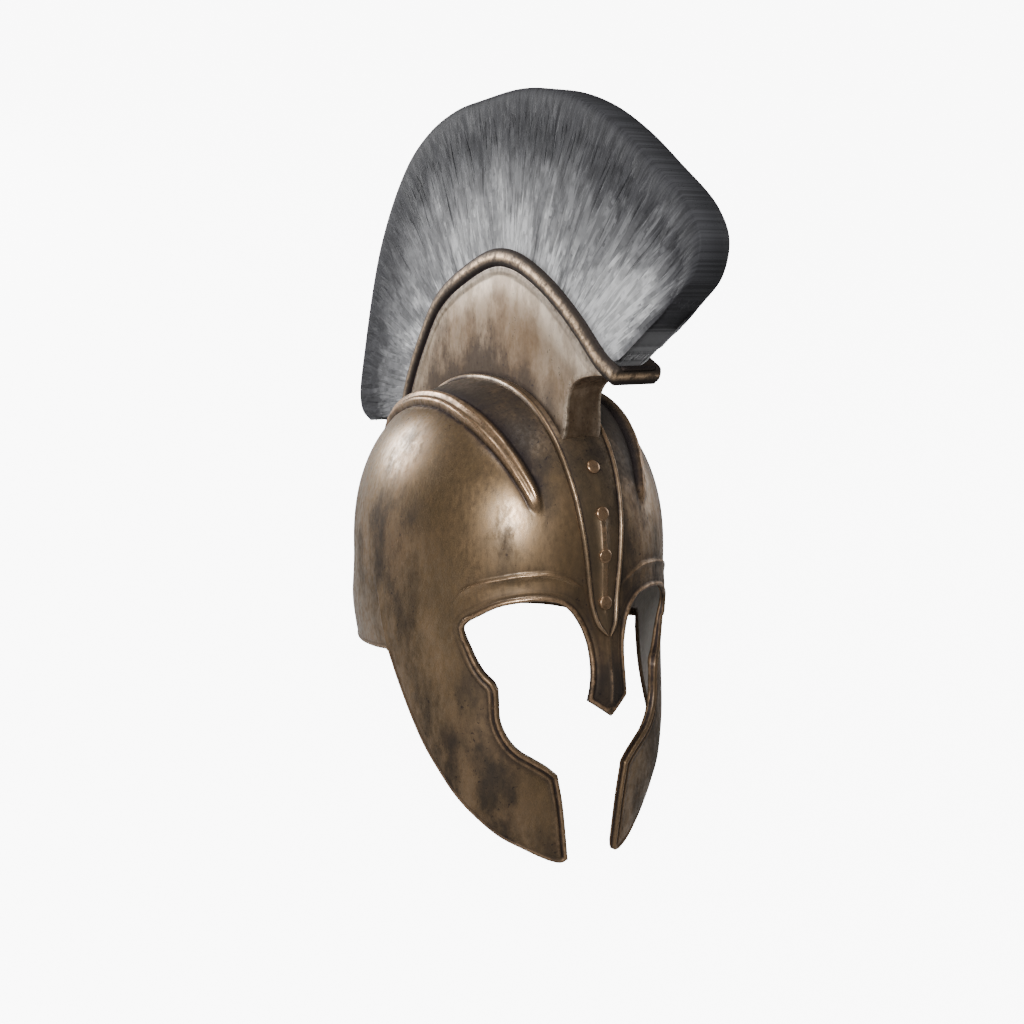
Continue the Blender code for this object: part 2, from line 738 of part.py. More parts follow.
def rib_share(line):
    """Say where along the plate the narrow rib stands, from its foot to the third rivet."""
    up = (rivet_heights[2] + rib_fade - line[:, 2]) / rib_fade
    foot = (line[:, 2] + plate_drop) / rib_fade
    return smooth_step(up) * smooth_step(foot) * (line[:, 1] < 0.0)


def make_plate():
    """Make the beaded plate that runs from between the eyes over the middle of the dome."""
    line, normal, half = plate_frame(plate_step)
    rib = np.minimum(rib_width / 2, rib_limit * half)
    rib_lift = rib_rise * rib_share(line)
    columns = [(half * share, plate_wall + plate_bead * bead) for share, bead in PLATE_ACROSS]
    columns += [(rib, plate_wall + 0.0 * half), (rib_top * rib, plate_wall + rib_lift)]
    top = [seat(line, normal, across, clearance + rise) for across, rise in columns]
    other = [p * (-1, 1, 1) for p in reversed(top)]
    under = [seat(line, normal, half * share, clearance + 0.0 * half) for share in PLATE_UNDER]
    rings = np.stack(top + other + under, axis=1)
    return face_out(new_object("centre_plate", *loft(rings), "plate"))


def make_rivets():
    """Make the low round heads of the rivets down the front of the plate."""
    line, normal = midline(-plate_drop, plate_tail, fine_step)
    rib = rib_share(line)
    for number, height in enumerate(rivet_heights):
        i = int(np.argmin(np.abs(line[:, 2] - height) + (line[:, 1] > 0.0)))
        way = line - line[i]
        below = np.linalg.norm(way, axis=1) < rivet_diameter / 2 + clearance
        rise = 2 * clearance + plate_wall + rib_rise * rib[below].max() + (way[below] @ normal[i]).max()
        place = line[i] + normal[i] * rise
        name = "rivet_" + str(number + 1)
        rings = []
        for row in RIVET_HEAD:
            turn = np.linspace(0.0, 2 * math.pi, rivet_corners, endpoint=False)
            radius = row.out * rivet_diameter / 2
            high = row.up * rivet_height
            rings.append(np.stack([radius * np.cos(turn), radius * np.sin(turn), 0 * turn + high], axis=1))
        item = face_out(new_object(name, *loft(rings), "rivet"))
        item.location = tuple(place)
        lean = math.atan2(-normal[i][1], normal[i][2])
        item.rotation_euler = Euler((lean, 0.0, 0.0))


def side_points(rows, front, back, top):
    """Turn rows of shares along and up into places forward or back and up."""
    return [(row.along * (front if row.along < 0.0 else back), row.height * top) for row in rows]


def arch(step):
    """Follow the tray's underside from front to back, a step apart."""
    line = curve(side_points(ARCH, crest_front, crest_back, crest_top), step)
    line = np.stack([0.0 * line[:, 0], line[:, 0], line[:, 1]], axis=1)
    along = np.gradient(line, axis=0)
    normal = np.stack([0.0 * along[:, 1], -along[:, 2], along[:, 1]], axis=1)
    return line, normal / np.linalg.norm(normal, axis=1, keepdims=True)


def make_seat_cutter():
    """Make the guide that trims the box's foot to the plate, a clearance above it."""
    line, normal, half = plate_frame(plate_step)
    rise = plate_wall + 2 * clearance + 0.0 * half
    sink = -2 * box_sink + 0.0 * half
    top = [seat(line, normal, half * share, rise) for share in SEAT_ACROSS]
    under = [seat(line, normal, half * share, sink) for share in SEAT_ACROSS[::-1]]
    return cutter("seat_cutter", *loft(np.stack(top + under, axis=1)))


def cutter(name, points, faces):
    """Make a hidden guide for a cut."""
    item = face_out(new_object(name, points, faces, "plate"))
    item.hide_render = True
    item.display_type = "WIRE"
    return item


def box_rings(inset):
    """Give the box's cross sections, drawn in by a wall where one is given."""
    head, up = arch(crest_step)
    part = slice(round(box_rim_front * len(head)), round(box_rim_back * len(head)))
    head = (head - up * (clearance + inset))[part]
    line, normal, half = plate_frame(fine_step)
    first = int(np.argmin(np.abs(line[:, 1] + box_foot_front * front_depth)))
    last = int(np.argmin(np.abs(line[:, 1] - box_foot_back * back_depth)))
    at = np.round(np.linspace(first, last, len(head))).astype(int)
    foot_half = np.minimum(half[at] * foot_share, box_width / 2)
    foot = line[at] - normal[at] * (box_sink + inset)
    share = np.linspace(0.0, 1.0, len(head))
    bulge = neck_bulge * (1.0 - smooth_step(share / bulge_end))
    sides = []
    for row in np.linspace(0.0, 1.0, 6):
        width = mixed(foot_half, box_width / 2, row)
        waist = 1.0 - (1.0 - box_waist) * math.sin(math.pi * row) * smooth_step(1.0 - share / waist_end)
        bow = math.sin(math.pi * row ** bulge_high) * bulge
        point = mixed(foot, head, row) + np.stack([0 * bow, bulge_back * bow, bulge_up * bow], axis=1)
        for end, beside in ((0, 1), (-1, -2)):
            way = point[beside] - point[end]
            point[end] = point[end] + way / np.linalg.norm(way) * inset
        point[:, 0] = width * waist - inset
        sides.append(point)
    return np.stack(sides + [side * (-1, 1, 1) for side in reversed(sides)], axis=1)


def make_box():
    """Make the hollow box that carries the crest, open underneath, with a narrow neck in front."""
    item = face_out(new_object("crest_box", *loft(box_rings(0.0), ladder=True), "crest"))
    guides = (cutter("hollow_cutter", *loft(box_rings(box_wall), ladder=True)), make_seat_cutter())
    for guide in guides:
        cut = item.modifiers.new(guide.name, "BOOLEAN")
        cut.operation = "DIFFERENCE"
        cut.solver = "EXACT"
        cut.object = guide
    return item


def make_tray():
    """Make the rolled tray along the top of the box, which holds the roots of the plume."""
    line, normal = arch(crest_step)
    start = line[0] + (line[0] - line[1]) / np.linalg.norm(line[1] - line[0]) * tray_end
    end = line[-1] + (line[-1] - line[-2]) / np.linalg.norm(line[-1] - line[-2]) * tray_end
    line = np.vstack([start, line[:1], line, line[-1:], end])
    normal = np.vstack([normal[:1], normal[:1], normal, normal[-1:], normal[-1:]])
    floor = np.full(len(line), tray_height - tray_depth)
    floor[:2] = end_height * tray_height
    floor[-2:] = end_height * tray_height
    half = tray_width / 2
    inside = half - tray_lip
    columns = [(share * half, up * tray_height + 0.0 * floor) for share, up in TRAY_OUTSIDE]
    columns += [(inside_flare * inside, inside_top * tray_height + 0.0 * floor), (inside, floor)]
    right = [line + np.array([across, 0.0, 0.0]) + normal * up[:, None] for across, up in columns]
    left = [p * (-1, 1, 1) for p in reversed(right)]
    nudge = np.zeros(line.shape)
    nudge[1] = (line[0] - line[1]) * end_nudge
    nudge[-2] = (line[-1] - line[-2]) * end_nudge
    rings = np.stack(right + left, axis=1) + nudge[:, None, :]
    return face_out(new_object("crest_tray", *loft(rings, ladder=True), "crest"))


def make_plume():
    """Make the fan of hair as locks that stand side by side in the tray."""
    root, up = arch(fine_step)
    root = root + up * (tray_height - tray_depth + clearance)
    tips = curve(side_points(PLUME_TIPS, plume_front, plume_back, plume_top), fine_step)
    locks = round(fine_step * len(tips) / lock_width)
    share = np.linspace(0.0, 1.0, 2 * locks + 1)
    root_share = plume_root_front + (plume_root_back - plume_root_front) * share
    root_at = read_along(root[:, 1:], root_share)
    tip_at = read_along(tips, share)
    middle = np.arange(2 * locks + 1) % 2
    wave = np.sin(wave_pace * np.arange(2 * locks + 1))
    shift = lock_step * (middle - 0.5 + wave_share * wave)
    reach = 1.0 + shift / np.linalg.norm(tip_at - root_at, axis=1)
    sides = []
    for row in PLUME_THICKNESS:
        yz = root_at + (tip_at - root_at) * (row.place * reach)[:, None]
        grow = smooth_step(row.place / groove_start)
        half = row.half * plume_thickness / 2 - (1 - middle) * lock_groove * grow
        sides.append(np.stack([half, yz[:, 0], yz[:, 1]], axis=1))
    other = [p * (-1, 1, 1) for p in reversed(sides)]
    rings = np.stack(sides + other, axis=1)
    return face_out(new_object("plume", *loft(rings, ladder=True), "plume"))


def resting_lean(item):
    """Find the lean, in radians, at which the shell lies on its cheek tips and its neck guard's rim."""
    side = sorted({(round(v.co.y, 7), round(v.co.z, 7)) for v in item.data.vertices})
    hull = []
    for point in side:
        while len(hull) > 1:
            (ay, az), (by, bz) = hull[-2], hull[-1]
            if (by - ay) * (point[1] - az) - (bz - az) * (point[0] - ay) > 0.0:
                break
            hull.pop()
        hull.append(point)
    front, back = next((a, b) for a, b in zip(hull, hull[1:]) if a[0] < 0.0 <= b[0])
    return math.atan2(back[1] - front[1], back[0] - front[0])


def lay_down():
    """Lean the helmet back and stand it on z = 0 with the middle of its box over the origin."""
    bpy.context.view_layer.update()
    lean = resting_lean(shell)
    stand.rotation_euler = Euler((-lean, 0.0, 0.0))
    bpy.context.view_layer.update()
    low = np.full(3, np.inf)
    high = np.full(3, -np.inf)
    for item in bpy.data.objects:
        if item.type != "MESH" or item.hide_render:
            continue
        turn = np.array(item.matrix_world)
        points = np.array([tuple(v.co) for v in item.data.vertices]) @ turn[:3, :3].T + turn[:3, 3]
        low = np.minimum(low, points.min(axis=0))
        high = np.maximum(high, points.max(axis=0))
    middle = (low + high) / 2
    stand.location = (-middle[0], -middle[1], -low[2])
    bpy.context.view_layer.update()


clear_scene()
stand = bpy.data.objects.new("stand", None)
bpy.context.scene.collection.objects.link(stand)
shell = make_shell()
for make in (make_plate, make_rivets, make_box, make_tray, make_plume):
    make()
for piece in list(bpy.data.objects):
    if piece.type == "MESH":
        piece.parent = stand
lay_down()
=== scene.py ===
"""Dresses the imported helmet: fine bronze shell, plate, rivets, crest box, tray and plume of hair.

The helmet is modelled upright, with z = 0 at the brow and its face towards -Y, and each piece
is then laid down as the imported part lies.
"""

import logging
import math
from collections import namedtuple
from dataclasses import dataclass, field
from enum import Enum

import bmesh
import bpy
import numpy as np
from mathutils import Matrix, Vector
from mathutils.geometry import delaunay_2d_cdt
from mathutils.kdtree import KDTree


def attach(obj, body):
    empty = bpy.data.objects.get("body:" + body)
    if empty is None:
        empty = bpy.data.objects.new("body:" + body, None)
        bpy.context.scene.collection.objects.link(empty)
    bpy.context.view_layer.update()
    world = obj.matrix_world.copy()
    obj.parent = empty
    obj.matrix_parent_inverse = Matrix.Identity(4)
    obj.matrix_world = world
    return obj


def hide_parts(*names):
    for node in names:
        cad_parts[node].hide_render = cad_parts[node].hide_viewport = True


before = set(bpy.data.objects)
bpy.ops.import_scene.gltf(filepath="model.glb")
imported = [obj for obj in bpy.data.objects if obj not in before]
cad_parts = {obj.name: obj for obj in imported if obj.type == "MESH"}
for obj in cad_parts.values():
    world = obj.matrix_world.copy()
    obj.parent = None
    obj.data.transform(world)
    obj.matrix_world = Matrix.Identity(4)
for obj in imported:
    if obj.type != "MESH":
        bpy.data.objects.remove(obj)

LOG = logging.getLogger("helmet")
MM = 0.001


def table(columns: str, *rows: tuple) -> list:
    """Make a table whose rows have named columns."""
    row = namedtuple("Row", columns)
    return [row(*values) for values in rows]


def smooth_step(value: np.ndarray) -> np.ndarray:
    """Go smoothly from 0 to 1 as the value does."""
    t = np.clip(value, 0.0, 1.0)
    return t * t * (3.0 - 2.0 * t)


def mixed(first: np.ndarray, second: np.ndarray, share: np.ndarray) -> np.ndarray:
    """Mix two values by the share of the second."""
    return first + (second - first) * share


def through(rows: list, column: str, at: np.ndarray) -> np.ndarray:
    """Read one column of a table on a smooth curve with no overshoot.

    Args:
        rows: the table, whose first column grows.
        column: the name of the column to read.
        at: places in the first column.

    Returns:
        The values there.
    """
    x = np.array([row[0] for row in rows])
    y = np.array([getattr(row, column) for row in rows])
    step = np.diff(x)
    slope = np.diff(y) / step
    lean = np.zeros(len(x))
    same_way = slope[:-1] * slope[1:] > 0.0
    both = np.where(same_way, slope[:-1] + slope[1:], 1.0)
    lean[1:-1] = np.where(same_way, 2.0 * slope[:-1] * slope[1:] / both, 0.0)
    lean[0] = slope[0]
    lean[-1] = slope[-1]
    at = np.clip(np.asarray(at, float), x[0], x[-1])
    i = np.clip(np.searchsorted(x, at, side="right") - 1, 0, len(x) - 2)
    t = (at - x[i]) / step[i]
    start = (1.0 + 2.0 * t) * (1.0 - t) ** 2 * y[i] + t * (1.0 - t) ** 2 * step[i] * lean[i]
    end = t * t * (3.0 - 2.0 * t) * y[i + 1] + t * t * (t - 1.0) * step[i] * lean[i + 1]
    return start + end


def straight(rows: list, column: str, at: np.ndarray) -> np.ndarray:
    """Read one column of a table along straight lines between its rows."""
    return np.interp(at, [row[0] for row in rows], [getattr(row, column) for row in rows])


def run_along(line: np.ndarray) -> np.ndarray:
    """Give the way along a line from its start to each of its points."""
    return np.concatenate([[0.0], np.cumsum(np.linalg.norm(np.diff(line, axis=0), axis=1))])


def read_along(line: np.ndarray, shares: np.ndarray) -> np.ndarray:
    """Read points of a line at shares of its length."""
    run = run_along(line)
    at = np.asarray(shares) * run[-1]
    return np.stack([np.interp(at, run, line[:, i]) for i in range(line.shape[1])], axis=1)


def unit(ways: np.ndarray) -> np.ndarray:
    """Bring directions to the length 1."""
    return ways / np.maximum(np.linalg.norm(ways, axis=-1, keepdims=True), 1e-9)


def out_of_middle(line: np.ndarray) -> np.ndarray:
    """Give the directions straight out of a line in the middle plane that runs front to back."""
    along = np.gradient(line, axis=0)
    return unit(np.stack([0.0 * along[:, 1], -along[:, 2], along[:, 1]], axis=1))


def sideways(across: np.ndarray) -> np.ndarray:
    """Give steps to the wearer's left by the given lengths."""
    return np.stack([across, 0.0 * across, 0.0 * across], axis=1)


def tree_of(points: np.ndarray) -> KDTree:
    """Make a search tree of flat or solid points."""
    tree = KDTree(len(points))
    for i, p in enumerate(points):
        tree.insert((*p, 0.0)[:3], i)
    tree.balance()
    return tree


def spread(rows: list, front: float, back: float, top: float) -> list:
    """Turn rows of shares along and up the helmet's middle into points of its middle plane."""
    return [(row.along * (front if row.along < 0 else back), row.height * top) for row in rows]


def mirrored(sides: list) -> np.ndarray:
    """Close rings from the columns of one side and their mirror images."""
    return np.stack(sides + [side * (-1, 1, 1) for side in reversed(sides)], axis=1)


def both_sides(values: np.ndarray) -> np.ndarray:
    """List a row of values for each ring, and again backwards for its mirrored half."""
    return np.concatenate([values, values[:, ::-1]], axis=1).ravel()


def even(line: np.ndarray, step: float) -> np.ndarray:
    """Space points evenly along a line, about a step apart, with its ends kept."""
    count = max(1, round(run_along(line)[-1] / step))
    return read_along(line, np.linspace(0.0, 1.0, count + 1))


def curve(points: list, step: float) -> np.ndarray:
    """Space points evenly along a smooth curve through the given ones, ends included."""
    given = np.array(points, float)
    padded = np.vstack([2 * given[0] - given[1], given, 2 * given[-1] - given[-2]])
    fine = []
    for a, b, c, d in zip(padded[:-3], padded[1:-2], padded[2:-1], padded[3:]):
        spans = [np.linalg.norm(q - p) ** 0.5 for p, q in ((a, b), (b, c), (c, d))]
        k1, k2, k3 = np.cumsum(np.maximum(spans, 1e-3))
        t = np.linspace(k1, k2, 12, endpoint=False)[:, None]
        ab = mixed(a, b, t / k1)
        bc = mixed(b, c, (t - k1) / (k2 - k1))
        cd = mixed(c, d, (t - k2) / (k3 - k2))
        first = mixed(ab, bc, t / k2)
        second = mixed(bc, cd, (t - k1) / (k3 - k1))
        fine.append(mixed(first, second, (t - k1) / (k2 - k1)))
    return even(np.vstack(fine + [given[-1:]]), step)


# The shell below the brow, in shares: drop of cheek_length, half width of half the width,
# middle and front of front_depth, back of back_depth
SKIRT = table(
    "drop half_width middle front back",
    (0.000, 1.000, 0.000, 1.000, 1.000),
    (0.152, 1.000, 0.000, 1.000, 0.985),
    (0.305, 0.970, 0.041, 0.975, 0.945),
    (0.457, 0.925, 0.098, 0.959, 0.860),
    (0.711, 0.849, 0.197, 0.943, 0.740),
    (1.015, 0.642, 0.311, 0.926, 0.579),
)
# Outlines: angle round the head in degrees from the face, and drop in shares of the size there
NASAL_SIDE = table(
    "angle drop",
    (9.1, 0.876), (8.2, 0.778), (7.6, 0.657), (7.9, 0.502), (9.4, 0.379), (11.1, 0.302), (13.2, 0.240),
)
BROW_EDGE = table(
    "angle drop",
    (16.5, 0.524), (21.7, 0.464), (25.7, 0.458), (36.6, 0.569), (43.5, 0.766), (47.9, 0.925), (49.1, 1.02),
)
BROW_LINE = table(
    "angle drop",
    (5.8, 0.377), (10.1, 0.162), (15.5, -0.003), (21.8, -0.081), (29.5, -0.057), (36.8, 0.021),
    (43.5, 0.117), (49.4, 0.290), (53.7, 0.641),
)
CHEEK_BESIDE_EYE = table(
    "angle drop",
    (48.9, 0.032), (47.4, 0.086), (45.8, 0.136), (43.2, 0.188), (39.9, 0.228), (38.7, 0.257),
)
CHEEK_BESIDE_MOUTH = table(
    "angle drop",
    (38.8, 0.300), (38.9, 0.385), (36.3, 0.460), (32.3, 0.510), (27.2, 0.545), (21.6, 0.582), (17.3, 0.619),
)
CHEEK_FRONT = table("angle drop", (15.7, 0.744), (15.2, 0.987))
CHEEK_BACK = table(
    "angle drop",
    (18.9, 1.000), (25.4, 0.989), (38.4, 0.938), (49.0, 0.882), (57.8, 0.777), (66.8, 0.640),
    (75.2, 0.512), (80.7, 0.378), (83.5, 0.246), (84.4, 0.166),
)
NECK_EDGE = table(
    "angle drop",
    (86.4, 0.868), (100.0, 0.925), (116.0, 0.960), (130.0, 0.955), (142.0, 0.968), (153.0, 1.000),
    (166.0, 0.972), (180.0, 0.943),
)
CHEEK_CREASE = table(
    "drop angle",
    (0.172, 88.4), (0.250, 87.6), (0.323, 86.0), (0.452, 84.5), (0.698, 84.5),
)
# The dome ridges: outer foot and inner crease in shares of half the width, along shares of depth
RIDGE = table(
    "along outer inner",
    (0.000, 0.605, 0.490),
    (0.300, 0.595, 0.482),
    (0.500, 0.566, 0.458),
    (0.660, 0.522, 0.426),
    (0.775, 0.474, 0.390),
    (0.850, 0.430, 0.358),
    (0.885, 0.405, 0.342),
)
# Across a ridge from its outer foot to its inner crease: a low bead, a broad one and a long fall,
# with how worn each place is and how dark with dirt and painted shade, at the foot and down the fall
RIDGE_PROFILE = table(
    "place rise worn grimy",
    (-0.30, 0.00, 0.0, 0.0), (-0.16, 0.00, 0.0, 0.3), (-0.08, -0.05, 0.0, 0.9), (0.00, -0.08, 0.0, 1.0),
    (0.05, 0.14, 0.1, 0.5), (0.10, 0.42, 0.4, 0.0), (0.16, 0.63, 0.8, 0.0), (0.22, 0.72, 1.0, 0.0),
    (0.29, 0.71, 0.6, 0.0), (0.35, 0.67, 0.2, 0.4), (0.41, 0.71, 0.4, 0.2), (0.47, 0.84, 0.9, 0.0),
    (0.53, 0.95, 1.0, 0.0), (0.60, 1.00, 0.6, 0.0), (0.67, 0.97, 0.3, 0.1), (0.74, 0.86, 0.1, 0.3),
    (0.81, 0.68, 0.1, 0.5), (0.88, 0.44, 0.0, 0.7), (0.95, 0.18, 0.0, 0.9), (1.00, 0.00, 0.0, 1.0),
    (1.07, -0.07, 0.0, 0.9), (1.16, -0.03, 0.0, 0.7), (1.25, 0.0, 0.0, 0.55), (1.80, 0.0, 0.0, 0.0),
)
# Across the rim, in millimetres from the open edge: rise of the eye's rim, of the doubled cheek
# rim and of the thin back rim, how far the inner face stands back from its plain place, and the
# share of the hem's depth that is folded inwards
RIM_PROFILE = table(
    "out eye cheek back inner hem",
    (0.00, -1.00, -0.70, -1.00, 0.90, 0.80),
    (0.25, -0.10, -0.10, -0.45, 0.30, 0.92),
    (0.60, 0.50, 0.35, 0.10, -0.05, 1.00),
    (1.10, 0.88, 0.72, 0.48, -0.25, 1.00),
    (1.70, 1.00, 0.80, 0.60, -0.35, 1.00),
    (2.30, 0.90, 0.62, 0.42, -0.30, 0.94),
    (2.80, 0.58, 0.20, 0.08, -0.15, 0.82),
    (3.20, 0.10, -0.30, -0.15, 0.00, 0.66),
    (3.70, -0.28, -0.50, -0.22, 0.00, 0.44),
    (4.30, -0.30, -0.20, -0.12, 0.00, 0.22),
    (4.90, -0.12, 0.28, 0.00, 0.00, 0.06),
    (5.60, 0.00, 0.45, 0.00, 0.00, 0.00),
    (6.30, 0.00, 0.22, 0.00, 0.00, 0.00),
    (7.00, 0.00, -0.28, 0.00, 0.00, 0.00),
    (7.70, 0.00, -0.26, 0.00, 0.00, 0.00),
    (8.80, 0.00, 0.00, 0.00, 0.00, 0.00),
)
# Through the thickness of an open edge, from its outer to its inner corner: how worn, and how dark with
# dirt and painted shade on its wall
EDGE_FACE = table(
    "place worn grimy",
    (0.10, 0.30, 0.4), (0.24, 0.05, 0.9), (0.55, 0.0, 1.0), (0.86, 0.05, 0.9), (0.95, 0.60, 0.2),
)
# Below the brow line in millimetres: rise of its fine bead and the hollow under it
BROW_PROFILE = table(
    "below rise",
    (-3.0, 0.0), (-1.8, -0.12), (-1.0, -0.05), (-0.2, 0.75), (0.6, 1.15), (1.4, 0.95), (2.4, 0.55),
    (4.0, 0.45), (7.0, 0.55), (12.0, 0.9),
)
# Dirt and painted shade in the grooves beside the thick rims of eye and cheek and the thin back rim, by
# millimetres from the open edge
THICK_RIM_GRIME_AND_SHADE = table(
    "away grimy",
    (0.0, 0.3), (0.5, 0.0), (2.3, 0.0), (3.2, 1.0), (4.2, 1.0), (4.9, 0.35), (6.2, 0.3), (7.2, 0.8),
    (9.0, 0.0),
)
THIN_RIM_GRIME_AND_SHADE = table("away grimy", (1.6, 0.0), (2.8, 0.7), (4.0, 0.0))
# Beside the middle of the nose guard in millimetres: rise of the fine crease down it
NASAL_CREASE = table("beside rise", (0.0, 0.5), (0.35, 0.25), (0.8, -0.1), (1.4, -0.06), (2.2, 0.0))
# Half width of the centre plate in shares of its full half width, from its foot to the top
PLATE_FRONT = table(
    "along half_width",
    (0.00, 0.05), (0.012, 0.20), (0.035, 0.36), (0.08, 0.47), (0.14, 0.55), (0.24, 0.66), (0.31, 0.74),
    (0.385, 0.81), (0.45, 0.87), (0.53, 0.92), (0.63, 0.96), (0.74, 0.98), (0.84, 1.00), (1.00, 1.00),
)
# Across the plate in millimetres from its edge: height above the shell
PLATE_PROFILE = table(
    "out up",
    (0.00, 0.45), (0.15, 1.35), (0.45, 2.20), (0.90, 2.75), (1.50, 2.95), (2.10, 2.75), (2.60, 2.25),
    (2.95, 1.60), (3.30, 1.22), (3.90, 1.25), (4.80, 1.40),
)
ARCH = table(
    "along height",
    (-1.000, 0.632), (-0.900, 0.672), (-0.706, 0.793), (-0.488, 0.904), (-0.249, 0.984), (-0.073, 1.000),
    (0.200, 0.952), (0.515, 0.853), (0.713, 0.708), (0.871, 0.549), (0.975, 0.385),
)
# The tray's half section: out in shares of half its width, up in shares of its height
TRAY_OUTSIDE = table(
    "out up",
    (0.76, 0.00), (0.82, 0.00), (0.865, 0.03), (0.885, 0.10), (0.90, 0.14), (0.945, 0.17), (0.98, 0.27),
    (1.000, 0.42), (1.000, 0.56), (0.985, 0.70), (0.955, 0.83), (0.905, 0.94), (0.845, 1.00),
    (0.785, 1.00), (0.735, 0.96), (0.705, 0.88),
)
PLUME_TIPS = table(
    "along height",
    (-0.900, 0.560), (-0.975, 0.605), (-1.000, 0.668), (-0.955, 0.728), (-0.800, 0.815), (-0.655, 0.887),
    (-0.500, 0.945), (-0.330, 0.984), (-0.160, 1.000), (0.060, 0.995), (0.240, 0.984), (0.430, 0.945),
    (0.600, 0.870), (0.800, 0.690), (0.950, 0.420), (0.992, 0.300), (0.970, 0.262), (0.905, 0.240),
)
# Half thickness of the plume from root to tip, in shares of half its thickness
PLUME_THICKNESS = table(
    "place half",
    (0.0, 1.02), (0.12, 1.05), (0.45, 1.06), (0.82, 1.02), (0.95, 0.99), (0.985, 0.93), (1.0, 0.84),
)


@dataclass(frozen=True)
class Resting:
    """How the upright helmet is laid down: leant back, then stood on the floor."""

    lean: float = 0.5250293
    shift_y: float = -0.0357215
    shift_z: float = 0.1168473

    def matrix(self) -> Matrix:
        """Give the matrix from upright to lying."""
        turn = Matrix.Rotation(-self.lean, 4, "X")
        return Matrix.Translation((0.0, self.shift_y, self.shift_z)) @ turn


RESTING = Resting()


class Bench:
    """The ways of working that all pieces share."""

    @staticmethod
    def deselect() -> None:
        """Leave nothing selected and no mesh in edit mode."""
        if bpy.context.object and bpy.context.object.mode != "OBJECT":
            bpy.ops.object.mode_set(mode="OBJECT")
        bpy.ops.object.select_all(action="DESELECT")

    @staticmethod
    def hold(item: bpy.types.Object) -> None:
        """Select one object alone and make it the active one."""
        Bench.deselect()
        item.select_set(True)
        bpy.context.view_layer.objects.active = item

    @staticmethod
    def round_edges(item: bpy.types.Object, width: float, segments: int, angle: float) -> None:
        """Round the edges that are sharper than an angle in degrees, with a bevel."""
        Bench.hold(item)
        bevel = item.modifiers.new("Bevel", "BEVEL")
        bevel.width = width
        bevel.segments = segments
        bevel.limit_method = "ANGLE"
        bevel.angle_limit = math.radians(angle)
        bpy.ops.object.modifier_apply(modifier=bevel.name)

    @staticmethod
    def sheet(name: str, points: np.ndarray, faces: list) -> bpy.types.Object:
        """Make a mesh object from points and faces."""
        mesh = bpy.data.meshes.new(name)
        mesh.from_pydata([tuple(p) for p in points], [], faces)
        mesh.update()
        item = bpy.data.objects.new(name, mesh)
        bpy.context.scene.collection.objects.link(item)
        return item

    @staticmethod
    def mask(item: bpy.types.Object, name: str, values: np.ndarray) -> None:
        """Keep one number for each vertex under a name that materials read."""
        layer = item.data.attributes.new(name, "FLOAT", "POINT")
        layer.data.foreach_set("value", np.asarray(values, np.float32))

    @staticmethod
    def turn_out(item: bpy.types.Object) -> None:
        """Turn all faces of a closed mesh outwards."""
        Bench.hold(item)
        bpy.ops.object.mode_set(mode="EDIT")
        bpy.ops.mesh.select_all(action="SELECT")
        bpy.ops.mesh.normals_make_consistent(inside=False)
        bpy.ops.object.mode_set(mode="OBJECT")

    @staticmethod
    def finish(item: bpy.types.Object, material: bpy.types.Material, slot: str, nodes: tuple,
               angle: float) -> None:
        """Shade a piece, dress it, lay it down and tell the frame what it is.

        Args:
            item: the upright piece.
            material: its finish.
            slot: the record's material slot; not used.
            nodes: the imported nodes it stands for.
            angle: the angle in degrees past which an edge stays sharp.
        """
        Bench.hold(item)
        bpy.ops.object.shade_smooth_by_angle(angle=math.radians(angle))
        item.data.materials.clear()
        item.data.materials.append(material)
        item.matrix_world = RESTING.matrix() @ item.matrix_world
        bpy.context.view_layer.update()
        bpy.ops.object.transform_apply(location=True, rotation=True, scale=True)
        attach(item, "root")
        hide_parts(*nodes)
        LOG.info("%s: %d faces", item.name, len(item.data.polygons))


def loft(rings: np.ndarray, ladder: bool = False) -> tuple:
    """Give the points and faces of a closed body through rings of equal count.

    Args:
        rings: points, by ring and by place in the ring.
        ladder: whether rungs between the two halves of an end ring close it, instead of one face.

    Returns:
        The points and the faces.
    """
    length, count = rings.shape[:2]
    faces = []
    for row in range(length - 1):
        a = row * count
        for i in range(count):
            j = (i + 1) % count
            faces.append((a + i, a + j, a + count + j, a + count + i))
    for base in (0, (length - 1) * count):
        if ladder:
            for i in range(count // 2 - 1):
                faces.append((base + i, base + i + 1, base + count - 2 - i, base + count - 1 - i))
        else:
            faces.append(tuple(range(base, base + count)))
    return rings.reshape(-1, 3), faces


